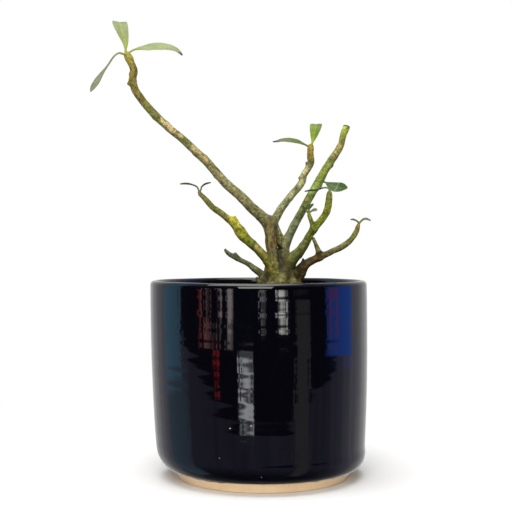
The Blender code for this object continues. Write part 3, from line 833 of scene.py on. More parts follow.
def chain_distance(points, route):
    """Distance to a chain of links, share of its length, and unit direction outwards, for every point."""
    start, end = route[:-1], route[1:]
    link = end[:, :3] - start[:, :3]
    length = np.linalg.norm(link, axis=1)
    offset = points[:, None] - start[None, :, :3]
    along = np.clip(np.einsum("pls,ls->pl", offset, link) / length**2, 0, 1)
    away = offset - along[..., None] * link
    reach = np.linalg.norm(away, axis=2)
    distance = reach - (start[:, 3] + along * (end[:, 3] - start[:, 3]))
    best = np.argmin(distance, axis=1)
    pick = np.arange(len(points))
    run = np.concatenate([[0], np.cumsum(length)])
    share = (run[best] + along[pick, best] * length[best]) / run[-1]
    out = away[pick, best] / np.maximum(reach[pick, best], 1e-9)[:, None]
    return distance[pick, best], share, out


def ready_route(name, stations):
    """The smooth route with its tip drawn back, so that the round end of the distance reaches the same
    place."""
    route = smooth_route(stations, 2.4)
    if name in PRUNED or name == "caudex":
        return route
    tip = route[-1, :3] - route[-2, :3]
    route[-1, :3] -= tip / np.linalg.norm(tip) * min(route[-1, 3] * 0.6, np.linalg.norm(tip) * 0.6)
    return route


ROUTES = {name: ready_route(name, stations) for name, stations in {"caudex": above, **STEMS}.items()}
run_mm = {
    name: float(np.linalg.norm(np.diff(route[:, :3], axis=0), axis=1).sum()) for name, route in ROUTES.items()
}
print("stem lengths, mm:", {name: round(length) for name, length in run_mm.items()})


def skin_field(points):
    """Smooth minimum -k log(sum exp(-d / k)) of the stems' distances, each stem's weight in it and its
    share of length, and the direction out. A pruned end adds a plane across the tip."""
    distances = np.full((len(points), len(ROUTES)), FAR)
    shares = np.zeros_like(distances)
    outs = np.zeros((len(points), len(ROUTES), 3))
    for index, (name, route) in enumerate(ROUTES.items()):
        reach = route[:, 3].max() + 4
        near = np.all((points > route[:, :3].min(0) - reach) & (points < route[:, :3].max(0) + reach), axis=1)
        if not near.any():
            continue
        distance, share, out = chain_distance(points[near], route)
        if name in PRUNED:
            cut = route[-1, :3] - route[-3, :3]
            cut /= np.linalg.norm(cut)
            beyond = (points[near] - route[-1, :3]) @ cut
            over = beyond > distance
            distance = np.where(over, beyond, distance)
            out = np.where(over[:, None], cut, out)
        distances[near, index], shares[near, index], outs[near, index] = distance, share, out
    least = distances.min(1, keepdims=True)
    weights = np.exp(-(distances - least) / BLEND)
    total = weights.sum(1, keepdims=True)
    weights /= total
    field = least[:, 0] - BLEND * np.log(total[:, 0])
    out = np.einsum("ps,psc->pc", weights, outs)
    return field, weights, shares, out / np.maximum(np.linalg.norm(out, axis=1, keepdims=True), 1e-9)


for _ in range(3):
    field, _, _, out = skin_field(bark_points)
    bark_points = bark_points - np.clip(field, -1.2, 1.2)[:, None] * out
field, weights, shares, out = skin_field(bark_points)
print("left off the surface, mm:", round(float(np.abs(field).mean()), 4))

# %% [markdown]
# ## Bark relief
# Young adenium bark is smooth and slightly waxy, with fine rings across the stems, round scars where leaves
# fell, small dark nubs of dead shoots, and shallow folds that run down the swollen base.

# %% Scars, nubs and folds
rng = np.random.default_rng(7)
# Where old leaves stood: stem, how far apart in mm, first and last share of the stem, size in mm
SCARRED = (
    ("long_branch", 6.5, 0.08, 0.97, 1.5), ("middle_branch", 7, 0.2, 0.95, 1.2),
    ("tall_branch", 8, 0.12, 0.9, 1.3),
    ("front_branch", 7.5, 0.35, 0.95, 1.1), ("left_branch", 7, 0.3, 0.92, 1.4),
    ("left_branch_shoot", 6, 0.15, 0.9, 1.0),
    ("right_branch", 6.5, 0.4, 0.95, 1.0), ("back_branch", 6, 0.35, 0.95, 0.8),
)
NUB_GAIN = 2.1
# Dead buds and knots: place and radius in mm, and height in mm before the gain
NUBS = (
    ((-83.2, -17, 286.4), 1.1, 1.1), ((-91.2, -18, 279.5), 1.1, 0.9), ((-90.2, -17, 272), 1.0, 0.8),
    ((-34, -4, 207), 1.3, 0.9), ((33.4, 23, 220.6), 0.9, 0.7), ((28.6, 20, 209.6), 0.9, 0.6),
    ((48, 14, 217), 1.0, 0.9), ((44.2, 13, 209.5), 0.9, 0.5), ((51.5, 15, 217.8), 1.3, 0.5),
    ((43.2, 9.5, 203.4), 1.6, 0.7), ((31.8, 6.6, 187.6), 1.1, 0.7), ((27.3, -9.5, 145), 1.5, 1.0),
    ((40.6, -8, 155.5), 1.2, 1.3), ((64.6, -11, 168.2), 0.9, 0.6), ((-15.2, -16.5, 172.5), 1.3, 0.6),
    ((8.5, -12.5, 147.5), 1.3, 0.5), ((-5, -14.5, 163), 1.0, 0.5), ((24, -8, 134), 2.8, 1.2),
    ((5, -14, 129), 3.2, 1.1),
    ((17, -15, 128), 3.0, 0.9), ((-2, -4, 133), 2.4, 0.9), ((29, -4, 131), 2.6, 1.0),
    ((22, -4, 141.5), 1.8, 0.9),
)
# Hollows and grooves: place, radii along X, Y and Z, depth in mm
HOLLOWS = (
    ((26, -9.5, 138.2), (1.9, 4, 2.2), 1.5), ((13.2, -4.5, 156), (1.1, 4, 9), 1.6),
    ((14.5, -7, 147), (1.3, 4, 5), 0.9),
    ((19, -9, 137), (1.6, 4, 3.5), 0.8), ((9.5, -10.5, 133), (1.4, 4, 3.5), 0.7),
    ((3.2, -10, 138.5), (0.9, 5, 3.2), 0.9), ((25, -10, 131), (1.2, 4, 2.4), 0.9),
    ((15.5, -12, 130), (1.0, 4, 2.6), 0.6),
)
RING_PITCH = 1.7
BARK_TINT = (0.72, 0.75, 0.54)
# Stains on the side that faces front: stem, share of its length, radius in mm, colour, strength
STAINS = (
    ("long_branch", 0.67, 1.1, "#e0c69a", 0.7), ("long_branch", 0.626, 1.3, "#e6cca4", 0.8),
    ("long_branch", 0.596, 2.0, "#f2d9b4", 1.0), ("long_branch", 0.565, 2.0, "#f0d4ae", 1.0),
    ("long_branch", 0.538, 1.3, "#e8caa0", 0.9), ("long_branch", 0.456, 1.8, "#e6c8a4", 0.9),
    ("long_branch", 0.43, 1.0, "#e6c8a4", 0.8), ("long_branch", 0.405, 1.6, "#dcbf98", 0.9),
    ("long_branch", 0.385, 1.3, "#d8b890", 0.8), ("long_branch", 0.3, 1.4, "#c9b48c", 0.6),
    ("long_branch", 0.69, 2.3, "#5c7426", 0.7), ("long_branch", 0.5, 2.2, "#66783e", 0.8),
    ("long_branch", 0.74, 1.5, "#4e4420", 0.6), ("long_branch", 0.35, 1.6, "#4e4a2c", 0.6),
    ("long_branch", 0.2, 2.0, "#a39c78", 0.6), ("long_branch", 0.12, 1.6, "#56502f", 0.6),
    ("left_strand", 0.78, 2.2, "#a8946e", 0.6), ("left_strand", 0.25, 1.8, "#a8956c", 0.5),
    ("middle_branch", 0.68, 1.9, "#d9cda8", 0.8), ("middle_branch", 0.5, 1.6, "#c9c2a2", 0.7),
    ("middle_branch", 0.33, 1.8, "#c4bb9c", 0.7), ("middle_branch", 0.75, 1.3, "#4c4828", 0.7),
    ("middle_branch", 0.42, 1.0, "#4c4828", 0.7), ("middle_branch", 0.93, 1.6, "#b8862c", 0.6),
    ("tall_branch", 0.63, 2.8, "#7f9a34", 0.5), ("tall_branch", 0.52, 2.4, "#86a040", 0.5),
    ("tall_branch", 0.445, 2.2, "#9cb45c", 0.9), ("tall_branch", 0.735, 2.0, "#d0b080", 0.8),
    ("tall_branch", 0.79, 1.7, "#c8a878", 0.8), ("tall_branch", 0.69, 1.2, "#4a4420", 0.7),
    ("tall_branch", 0.84, 1.1, "#4a4420", 0.6), ("tall_branch", 0.3, 2.4, "#5a6048", 0.6),
    ("left_branch", 0.45, 1.6, "#d8bc84", 0.9), ("left_branch", 0.36, 1.2, "#c6ac74", 0.7),
    ("left_branch", 0.62, 2.0, "#7f8a1a", 0.6), ("left_branch", 0.8, 3.6, "#b4b03a", 0.5),
    ("left_branch", 0.97, 3.6, "#d0c43a", 0.9), ("left_branch", 0.72, 0.9, "#4a4a1c", 0.8),
    ("left_branch", 0.86, 0.8, "#55501c", 0.8), ("left_branch", 0.66, 0.8, "#4a4a1c", 0.7),
    ("front_branch", 0.9, 1.3, "#5a5a24", 0.6), ("front_branch", 0.6, 1.2, "#5a6024", 0.6),
    ("front_branch", 0.33, 2.2, "#9a9c76", 0.6), ("right_branch", 0.46, 1.3, "#8f5a34", 0.8),
    ("right_branch", 0.5, 1.1, "#a07a52", 0.7), ("right_branch", 0.62, 1.3, "#93906c", 0.6),
    ("right_branch", 0.12, 2.0, "#3a3320", 0.7), ("back_branch", 0.45, 2.2, "#8b8c6c", 0.7),
)


def bump(points, place, radii):
    """A bell of height 1: e to the minus half the squared distance from place, measured in radii."""
    apart = (points - np.array(place)) / np.array(radii)
    return np.exp(-0.5 * (apart**2).sum(1))


def stem_numbers(name):
    """For one stem: its weight at every point, and how far along it the point lies, in mm."""
    index = list(ROUTES).index(name)
    return weights[:, index], shares[:, index] * run_mm[name]


def leaf_scars():
    """(relief in mm, tan share) of scars: each a low disc with a raised rim, by distance from its middle on
    the bark, and set about 2.4 radians round the stem from the one before."""
    relief = np.zeros(len(bark_points))
    tan = np.zeros(len(bark_points))
    for name, apart, first, last, size in SCARRED:
        route = ROUTES[name]
        _, side, up = frames_along(route[:, :3])
        weight, _ = stem_numbers(name)
        count = int((last - first) * run_mm[name] / apart)
        for i, share in enumerate(np.linspace(first, last, count) + rng.uniform(-0.01, 0.01, count)):
            at = int(round(share * (len(route) - 1)))
            turn = 2.4 * i + rng.uniform(-0.4, 0.4)
            outwards = side[at] * math.cos(turn) + up[at] * math.sin(turn)
            middle = route[at, :3] + outwards * route[at, 3]
            apart_mm = np.linalg.norm(bark_points - middle, axis=1) / size
            disc = 1 - smoothstep(apart_mm, 0.75, 1.15)
            rim = np.exp(-0.5 * ((apart_mm - 1.0) / 0.22) ** 2)
            relief += weight * (0.22 * rim + 0.08 * disc) * size / 1.3
            tan = np.maximum(tan, weight * disc * rng.uniform(0.35, 1.0))
    return relief, tan


def cross_rings():
    """Fine rings across the stems: a sine of the distance along each stem, its phase wandering with
    noise."""
    relief = np.zeros(len(bark_points))
    for name, depth in (
        ("long_branch", 0.07), ("middle_branch", 0.08), ("tall_branch", 0.06), ("front_branch", 0.05),
        ("right_branch", 0.07), ("left_branch_shoot", 0.07), ("back_branch", 0.09), ("left_branch", 0.05),
    ):
        weight, along = stem_numbers(name)
        wander = 2.5 * noise(bark_points, 5.0, 31)
        ripple = np.sin(math.tau * along / RING_PITCH + wander)
        relief += weight * depth * ripple * (0.5 + 0.5 * noise(bark_points, 7.0, 32))
    return relief


base_weight = stem_numbers("caudex")[0] + sum(
    stem_numbers(name)[0] for name in ("left_strand", "right_strand", "low_stub")
)
low_down = 1 - smoothstep(bark_points[:, 2], 134, 150)
folds = noise(bark_points / (1.9, 1.9, 8.0), 1.0, 41) + 0.5 * noise(bark_points / (0.9, 0.9, 4.0), 1.0, 42)
knobs = noise(bark_points, 5.5, 43) + 0.5 * noise(bark_points, 2.6, 44)
scar_relief, scar_tan = leaf_scars()
relief = 0.42 * base_weight * folds + low_down * 0.95 * knobs + 0.20 * noise(bark_points, 4.5, 45)
relief += 0.05 * noise(bark_points, 1.3, 46) + cross_rings() + scar_relief
nub_share = np.zeros(len(bark_points))
for place, size, height in NUBS:
    bell = bump(bark_points, place, (size, size, size))
    relief += NUB_GAIN * height * bell
    nub_share = np.maximum(nub_share, bell * (size < 2))
# Where the hollows are, kept for their painted shade in the bark colours
hollow_shade = np.zeros(len(bark_points))
for place, radii, depth in HOLLOWS:
    bell = bump(bark_points, place, radii)
    relief -= depth * bell
    hollow_shade = np.maximum(hollow_shade, bell)
bark_points = bark_points + relief[:, None] * out
print("bark relief, mm:", round(float(relief.min()), 2), "to", round(float(relief.max()), 2))


# %% Bark tones
def bark_tones():
    """Colour of each point: its stems' colours mixed by weight, then mottled, with painted light on raised
    relief, paler on scars, with painted shade in folds, hollows, forks and undersides, darker nubs, and pale
    green with a brown rim on the tall branch's pruned face."""
    tones = np.zeros((len(bark_points), 3))
    for index, name in enumerate(ROUTES):
        tones += weights[:, index:index + 1] * stem_tone(name, shares[:, index])
    patches = 0.20 * noise(bark_points, 5.0, 51) + 0.34 * noise(bark_points, 1.7, 52)
    patches += 0.8 * low_down * noise(bark_points, 1.9, 57)
    travelled = (weights * shares) @ np.array([run_mm[name] for name in ROUTES])
    streaks = noise(np.column_stack([out[:, 0] * 3.2, out[:, 2] * 3.2, travelled * 0.22]), 1.0, 60)
    patches += 0.36 * streaks * (1 - low_down)
    # Painted light and shade: bark raised by the relief is made lighter, and bark in its dips and folds
    # darker, in proportion to the relief height.
    raised = (0.5 + 0.3 * base_weight) * np.clip(relief, -0.8, 0.4)
    tones = tones * np.clip(1 + patches + raised, 0.2, 1.8)[:, None]
    weathered = smoothstep(noise(bark_points, 4.2, 53), 0.10, 0.45)
    weathered = weathered * smoothstep(noise(bark_points, 1.5, 54), -0.4, 0.3)
    weathered = (0.45 * weathered * (1 - low_down))[:, None]
    tones = tones * (1 - weathered) + (tones + 0.16) * linear("#d8b48c") * weathered
    for name, share, radius, code, strength in STAINS:
        route = ROUTES[name]
        at = int(round(share * (len(route) - 1)))
        place = route[at, :3] + route[at, 3] * np.array((0, -0.85, 0.4))
        ahead = route[min(at + 1, len(route) - 1), :3] - route[at - 1, :3]
        ahead /= np.linalg.norm(ahead)
        run = (bark_points - place) @ ahead
        across = np.linalg.norm(bark_points - place - run[:, None] * ahead, axis=1)
        ragged = np.exp(-0.5 * (run / (1.7 * radius)) ** 2 - 0.5 * (across / (0.75 * radius)) ** 2)
        ragged *= 1 + 0.9 * noise(bark_points, 1.4, 58)
        stain = 0.85 * strength * smoothstep(ragged, 0.15, 0.8)[:, None]
        tones = tones * (1 - stain) + linear(code) * stain
    specks = smoothstep(noise(bark_points, 1.15, 56), 0.36, 0.6) * smoothstep(
        noise(bark_points, 6, 59), -0.3, 0.3
    )
    specks = (0.6 * specks)[:, None]
    tones = tones * (1 - specks) + NODE_AND_SHADE_DARK * specks
    # Painted shade: bark that faces downwards is darkened by up to half.
    tones = tones * (1 - 0.5 * smoothstep(-out[:, 2], 0.15, 0.9))[:, None]
    # Painted shade: at forks where stems meet (right of the plant's middle) and in the hollows the bark is
    # drawn towards the dark colour; nubs are darkened as their own colour.
    crease = 1 - smoothstep(weights.max(1), 0.5, 0.95)
    crease = crease * smoothstep(bark_points[:, 0], -10, 0)
    dark = np.clip(0.4 * crease + 0.75 * hollow_shade + 0.6 * nub_share, 0, 0.9)[:, None]
    tones = tones * (1 - dark) + NODE_AND_SHADE_DARK * dark
    tan = 0.6 * scar_tan[:, None]
    tones = tones * (1 - tan) + SCAR_TAN * tan
    route = ROUTES["tall_branch"]
    cut = route[-1, :3] - route[-3, :3]
    cut /= np.linalg.norm(cut)
    depth = (bark_points - route[-1, :3]) @ cut
    reach = np.linalg.norm(bark_points - route[-1, :3], axis=1)
    face = smoothstep(depth, -0.5, -0.1) * (reach < 5)
    rim = smoothstep(depth, -1.1, -0.5) * (reach < 5) * smoothstep(reach, 1.7, 2.3)
    tones = tones * (1 - face[:, None]) + PITH_GREEN * face[:, None]
    tones = tones * (1 - rim[:, None]) + PRUNED_RIM * rim[:, None]
    return np.clip(tones * BARK_TINT, 0.004, 1)


# %% [markdown]
# The bark's shader takes the colour from the points and adds what is too fine for the mesh: breathing pores
# and a grain of about a millimetre. Waxy young bark has an index near 1.45 and a broad, dull shine.


# %% Bark finish
def waxy_bark():
    """Point colours times a fine mottle, with sparse dark pores and a bump from the same grain."""
    finish, tree, output, where, tone = toned_finish("waxy_adenium_bark")
    grain = speckle(tree, where, 950.0, 5.0)
    mottle = speckle(tree, where, 420.0, 4.0)
    shade = ramp(tree, mottle, 0.3, 0.7, 0.6, 1.4)
    shade = calc(tree, "MULTIPLY", shade, ramp(tree, grain, 0.36, 0.64, 0.7, 1.3))
    pore = calc(tree, "MULTIPLY", dots(tree, where, 900.0, 0.12, 0.3, 0.72), 0.6)
    base = blend(tree, pore, scaled(tree, tone, shade), rgba("#3a3218"))
    rough = ramp(tree, mottle, 0.0, 1.0, 0.42, 0.68)
    coat(tree, output, base, rough, 1.45, calc(tree, "SUBTRACT", grain, pore), 0.8, 0.0004, shine=0.25)
    return finish


WELD_DISTANCE = 0.002
bark_finish = waxy_bark()
bark = shell("bark_skin", bark_points, bark_faces, bark_finish, bark_tones())
weld(bark, WELD_DISTANCE)
stands_for(bark, "bark", "caudex_and_branches")

# %% [markdown]
# Under the mix the caudex goes on down and splits into thick roots. They are seldom seen, so plain rings
# with a little noise are enough, in the paler tone of roots that saw no light.


# %% Roots
def root_skin(stations, columns, seed):
    """A tube whose radius swells and shrinks by a tenth with noise along and round it."""
    route = smooth_route(stations, 2.5)
    _, side, up = frames_along(route[:, :3])
    turn = np.linspace(0, math.tau, columns, endpoint=False)[None, :, None]
    across = side[:, None] * np.cos(turn) + up[:, None] * np.sin(turn)
    rings = route[:, None, :3] + route[:, None, 3:] * across
    swell = 1 + 0.1 * noise(rings, 6.0, seed)[..., None]
    return closed_skin(route[:, None, :3] + route[:, None, 3:] * across * swell)


buried = tuple(station for station in CAUDEX if station[2] < 120)
root_points, root_faces = joined(
    [root_skin(buried, 48, 60)]
    + [root_skin(stations, 24, 61 + i) for i, stations in enumerate(ROOTS.values())]
)
root_points = np.array(root_points)
root_tones = linear("#8d7a58") * (1 + 0.25 * noise(root_points, 5.0, 66))[:, None]
roots = shell("buried_roots", root_points, root_faces, bark_finish, root_tones)
stands_for(roots, "bark", "caudex_and_branches")

# %% [markdown]
# ## Potting mix
# Adenium is grown in a gritty mix: dark compost with pumice, fired clay and charcoal. The body of the mix
# is a turned form with a lumpy top, and the grit is 1,500 small angular stones set partly into it.

# %% Potting mix: body
SOIL_LEVEL = 121.5
SOIL_CROWN = 0.8
SOIL_COLUMNS = 160
MIX_GAP = 0.6


def mix_rings():
    """Rings up the inside of the pot, a little short of it, then in over the top, whose height is the
    crowned level less up to 2.2 mm of noise."""
    inner_foot = float(wall_radius(FLOOR_TOP + FLOOR_FILLET)) - WALL - FLOOR_FILLET
    heights = np.linspace(FLOOR_TOP + FLOOR_FILLET, SOIL_LEVEL - 1.2, 24)
    side = np.column_stack([wall_radius(heights) - WALL, heights])
    fillet = ellipse((inner_foot, FLOOR_TOP + FLOOR_FILLET), FLOOR_FILLET, FLOOR_FILLET, -88, 0, 10)
    floor_line = straight((0.6, FLOOR_TOP), (inner_foot, FLOOR_TOP), 12)
    top = straight((float(wall_radius(SOIL_LEVEL)) - WALL - 0.3, SOIL_LEVEL), (0.6, SOIL_LEVEL), 110)
    profile = np.concatenate([floor_line, fillet, side[1:], top])  # the fillet ends on the side's first point
    profile[:, 0] = np.maximum(profile[:, 0] - MIX_GAP, 0.4)
    profile[:, 1] = np.maximum(profile[:, 1], FLOOR_TOP + 0.4)
    turn = np.linspace(0, math.tau, SOIL_COLUMNS, endpoint=False)
    radius, z = profile[:, :1], np.repeat(profile[:, 1:], SOIL_COLUMNS, 1)
    across = np.stack([radius * np.cos(turn), radius * np.sin(turn), z], -1)
    on_top = np.arange(len(profile))[:, None] >= len(profile) - len(top)
    lumps = 0.8 * noise(across, 9.0, 70) + 0.5 * noise(across, 3.2, 71) + 0.25 * noise(across, 1.4, 72) - 0.9
    crown = SOIL_CROWN * (1 - radius / RIM_RADIUS)
    across[..., 2] += np.where(on_top, np.clip(lumps, -2.2, 0) + crown, 0)
    across[..., 0] += lean(across[..., 2])
    return across


def mix_tones(points):
    """Dark compost browns, mottled at 4 mm and at 1 mm."""
    share = np.clip(0.5 + 0.5 * noise(points, 4.0, 73) + 0.4 * noise(points, 1.2, 74), 0, 1)[:, None]
    return linear("#2a1e14") * (1 - share) + linear("#5a4531") * share


# %% Potting mix: grit
GRIT_TONES = ("#b9a88c", "#cfc6b2", "#8a5a3c", "#3a3734", "#4b3726", "#a39480", "#6b4a30")
GRIT_COUNT = 1500
GOLDEN = (1 + 5**0.5) / 2
CORNERS = np.array(
    [(0, s, t * GOLDEN) for s in (-1, 1) for t in (-1, 1)]
    + [(s, t * GOLDEN, 0) for s in (-1, 1) for t in (-1, 1)]
    + [(t * GOLDEN, 0, s) for s in (-1, 1) for t in (-1, 1)], float,
) / math.hypot(1, GOLDEN)


def twenty_faces():
    """Triangles of the twelve corners: every three that are all one edge apart, wound so that they face
    out."""
    edge = np.linalg.norm(CORNERS[:, None] - CORNERS[None], axis=2)
    near = (edge > 0.1) & (edge < 1.2)
    trios = [(a, b, c) for a in range(12) for b in range(a) for c in range(b)]
    found = [(a, b, c) for a, b, c in trios if near[a, b] and near[b, c] and near[a, c]]
    return np.array([
        (a, b, c) if np.linalg.det(CORNERS[[a, b, c]]) > 0 else (a, c, b) for a, b, c in found
    ])


def grit():
    """Stones of twenty faces: corners pulled in and out, squashed, turned, and set at random over the
    top."""
    count = GRIT_COUNT
    turn = rng.uniform(0, math.tau, count)
    radius = (RIM_RADIUS - WALL - 2.4) * np.sqrt(rng.uniform(0.0, 1.0, count))
    size = rng.uniform(0.5, 1.0, count) ** 2 * 2.4
    corners = CORNERS[None] * rng.uniform(0.75, 1.15, (count, 12, 1))
    corners = corners * rng.uniform(0.55, 1.0, (count, 1, 3)) * size[:, None, None]
    spin, tilt = rng.uniform(0, math.tau, (2, count, 1))
    x, y, z = corners[..., 0], corners[..., 1], corners[..., 2]
    x, y = x * np.cos(spin) - y * np.sin(spin), x * np.sin(spin) + y * np.cos(spin)
    y, z = y * np.cos(tilt) - z * np.sin(tilt), y * np.sin(tilt) + z * np.cos(tilt)
    level = SOIL_LEVEL - 0.9 + SOIL_CROWN * (1 - radius / RIM_RADIUS) - size * rng.uniform(0.1, 0.5, count)
    middle = np.column_stack([radius * np.cos(turn) + RIM_SHIFT * 0.88, radius * np.sin(turn), level])
    points = np.stack([x, y, z], -1) + middle[:, None]
    faces = twenty_faces()[None] + 12 * np.arange(count)[:, None, None]
    chart = np.array([linear(code) for code in GRIT_TONES])
    tones = chart[rng.integers(0, len(chart), count)] * rng.uniform(0.7, 1.1, (count, 1))
    return points.reshape(-1, 3), faces.reshape(-1, 3), np.repeat(tones, 12, 0)


# %% Potting mix: finish and build
def gritty_compost(name, scale, depth):
    """Point colours with a matt, crumbly bump whose grains follow the scale."""
    finish, tree, output, where, tone = toned_finish(name)
    grain = speckle(tree, where, scale, 6.0)
    base = scaled(tree, tone, ramp(tree, grain, 0.3, 0.7, 0.6, 1.4))
    coat(tree, output, base, 0.92, 1.45, grain, 0.9, depth)
    return finish


mix_points, mix_faces = closed_skin(mix_rings())
mix_finish = gritty_compost("dark_fibrous_compost", 800.0, 0.0008)
mix = shell("potting_mix_body", mix_points, mix_faces, mix_finish, mix_tones(mix_points))
stands_for(mix, "potting_mix", "potting_mix")
grit_points, grit_faces, grit_tones = grit()
grit_finish = gritty_compost("pumice_and_fired_clay_grit", 1500.0, 0.0003)
stones = shell("grit", grit_points, grit_faces, grit_finish, grit_tones, smooth=False)
stands_for(stones, "potting_mix", "potting_mix")

# %% [markdown]
# ## Leaves
# Adenium leaves are leathery spoons: a short stalk, a blade broadest beyond its middle and a blunt tip.
# Each one is a flat closed section carried along its midrib. The section is widest where the leaf is, a
# little folded along the midrib, which stands proud underneath, and thin at its margin.

# %% Leaf routes
# Midrib points (mm), widest half-width, share that is stalk, share of the blade where it is widest, and the
# way the upper side faces at the stalk and at the tip
LEAVES = {
    "leaf_long_up": (
        ((-92.6, -20.1, 293.7), (-93, -18.5, 299.5), (-94.9, -15.5, 306), (-97.2, -11, 312.5),
         (-98.8, -4.5, 316.8),
         (-99.4, 3, 317.3), (-99.4, 9, 315)),
        5.0, 0.04, 0.58, (0.1, -0.85, 0.5), (0.1, -0.2, 1),
    ),
    "leaf_long_right": (
        ((-89.3, -20, 293.3), (-85.5, -20.5, 295), (-80, -21, 295.7), (-72, -21.5, 296.2), (-64, -22, 295.5),
         (-58, -22.5, 293.8), (-53.5, -23, 290.2)),
        5.4, 0.1, 0.6, (0, -0.85, 0.5), (0.3, -0.35, 0.95),
    ),
    "leaf_long_drooping": (
        ((-95.1, -20, 292), (-97.5, -20.3, 292.2), (-100.8, -20.8, 289.6), (-104.7, -21.5, 283.5),
         (-109, -22.3, 277),
         (-113, -23, 270.5), (-116.3, -23.5, 265.4)),
        3.4, 0.3, 0.72, (-0.6, -0.7, 0.4), (-0.6, -0.75, 0.4),
    ),
    "leaf_middle_left": (
        ((33.9, 27.8, 233.6), (31, 27, 235), (26, 26, 236.5), (21, 25, 237.2), (16, 24.5, 237.2),
         (11.8, 24, 236.6),
         (8.5, 24, 236.3)),
        4.4, 0.1, 0.63, (0, -0.85, 0.5), (0, -0.1, 1),
    ),
    "leaf_middle_up": (
        ((37.3, 28.3, 235.1), (38.2, 28.8, 238.4), (39.2, 30, 243), (40.1, 32.5, 247.3),
         (40.8, 37, 250.2), (41.1, 43, 250.8),
         (41.3, 47, 249.3)),
        4.2, 0.06, 0.55, (0, -0.85, 0.5), (0, -0.1, 1),
    ),
    "leaf_tall_right": (
        ((44.9, 12, 206.3), (46.8, 11.3, 205.6), (49.5, 10, 203.9), (53.4, 7, 202.2), (57.3, 4, 201.5),
         (61, 1, 201.4)),
        4.6, 0.1, 0.55, (0.1, -0.85, 0.5), (0.1, -0.85, 0.5),
    ),
    "leaf_front_left": (
        ((46.4, -24.6, 199), (45, -24.9, 199.9), (43, -25.2, 200.1), (40.1, -25.5, 199.5),
         (36.7, -25.8, 198.4),
         (33, -26, 198.2), (29.3, -26, 197.6)),
        3, 0.25, 0.63, (0, 0.06, 1), (0, 0.06, 1),
    ),
    "leaf_shoot_up": (
        ((32.6, -19.3, 185), (33.2, -19.6, 186.6), (34.4, -19.8, 188), (36, -20, 189.4)),
        1.6, 0.1, 0.63, (-0.4, -0.8, 0.5), (-0.4, -0.4, 0.8),
    ),
    "leaf_shoot_left": (
        ((31, -19.4, 184.6), (30.2, -19.8, 186.4), (28.9, -20.2, 187.6), (27.6, -20.5, 188.3)),
        1.3, 0.2, 0.63, (0, -0.2, 1), (0, 0, 1),
    ),
    "leaf_shoot_right": (
        ((33.9, -19.3, 184), (35.4, -19.8, 184.9), (37, -20.2, 185.2), (38.5, -20.5, 185.2)),
        1.8, 0.2, 0.63, (0, -0.7, 0.7), (0, -0.5, 0.8),
    ),
    "leaf_right_left": (
        ((67, -12.2, 177.2), (65.2, -12.5, 178.3), (63.4, -12.8, 178.8), (61.7, -13, 178.9)),
        1.7, 0.15, 0.63, (0, -0.6, 0.8), (0, -0.2, 1),
    ),
    "leaf_right_right": (
        ((68.7, -12.4, 177.2), (70.3, -12.7, 178.7), (72.2, -13, 179.2), (74.2, -13.3, 178.8),
         (75.9, -13.5, 178.1)),
        2.2, 0.15, 0.63, (0, -0.7, 0.7), (0, 0, 1),
    ),
    "leaf_left_left": (
        ((-43, -19.2, 199.2), (-44, -19.4, 201), (-47.4, -19.7, 202.7), (-51.5, -20, 203.2),
         (-55.6, -20.2, 203)),
        2.6, 0.2, 0.63, (0, 0, 1), (0, 0.05, 1),
    ),
    "leaf_left_right": (
        ((-41.3, -19.2, 199), (-40.6, -19.4, 201.2), (-38.8, -19.7, 202.7), (-36.6, -20, 203.5),
         (-34.3, -20.2, 204)),
        2.4, 0.2, 0.63, (0, -0.1, 1), (0, 0, 1),
    ),
}
# Where each stalk is rooted in the bark, in mm
STALK_BASES = {
    "leaf_long_up": (-92.3, -20, 291.8), "leaf_long_right": (-91, -19.9, 291.8),
    "leaf_long_drooping": (-92.6, -20, 291.2),
    "leaf_middle_left": (35.8, 27.9, 232.6), "leaf_middle_up": (36.6, 28.1, 233.2),
    "leaf_tall_right": (42.6, 12.3, 206.3),
    "leaf_front_left": (46.5, -24, 196.8), "leaf_shoot_up": (32.4, -19, 183.2),
    "leaf_shoot_left": (32.1, -19.1, 183.2),
    "leaf_shoot_right": (32.7, -19.1, 183), "leaf_right_left": (67.7, -12, 175.8),
    "leaf_right_right": (67.7, -12, 175.8),
    "leaf_left_left": (-42.3, -19, 197.2), "leaf_left_right": (-42.2, -19, 197.2),
}
# Colours: stalk and lower midrib, blade near the stalk, blade at the tip, underside
LEAF_TONES = {
    # leaf_long_up: these pale greens are painted light, the back-light shining through the leaf, over its own
    # mid-green
    "leaf_long_up": ("#cdd86a", "#a8b678", "#b4bfa0", "#a9b48a"),
    "leaf_long_right": ("#cdd562", "#aab886", "#bcc6a8", "#a9b48a"),
    # leaf_long_drooping: its greys are painted shade and grazing sheen, over the leaf's own green
    "leaf_long_drooping": ("#a8ad62", "#abada0", "#aaacaa", "#a9acac"),
    "leaf_middle_left": ("#8c9f3a", "#7c8c42", "#818a68", "#7f8966"),
    "leaf_middle_up": ("#c0d63c", "#98b42e", "#8fab38", "#94a868"),
    "leaf_tall_right": ("#86a444", "#4c7034", "#42662c", "#7f9a60"),
    "leaf_front_left": ("#9db060", "#5a6e44", "#4c5c40", "#5a6a50"),
    "leaf_shoot_up": ("#8aa048", "#4f6a30", "#3d5228", "#6a8050"),
    "leaf_shoot_left": ("#8aa048", "#7c9450", "#7f9458", "#7c9060"),
    "leaf_shoot_right": ("#9aa870", "#8f9f80", "#98a690", "#8c9880"),
    "leaf_right_left": ("#7c8a50", "#56644a", "#4c5844", "#66745a"),
    "leaf_right_right": ("#8a9650", "#76845c", "#6c785c", "#7a866a"),
    "leaf_left_left": ("#7f8e40", "#5c6c30", "#56642e", "#66743c"),
    "leaf_left_right": ("#7f8e40", "#6a7a38", "#66743a", "#66743c"),
}
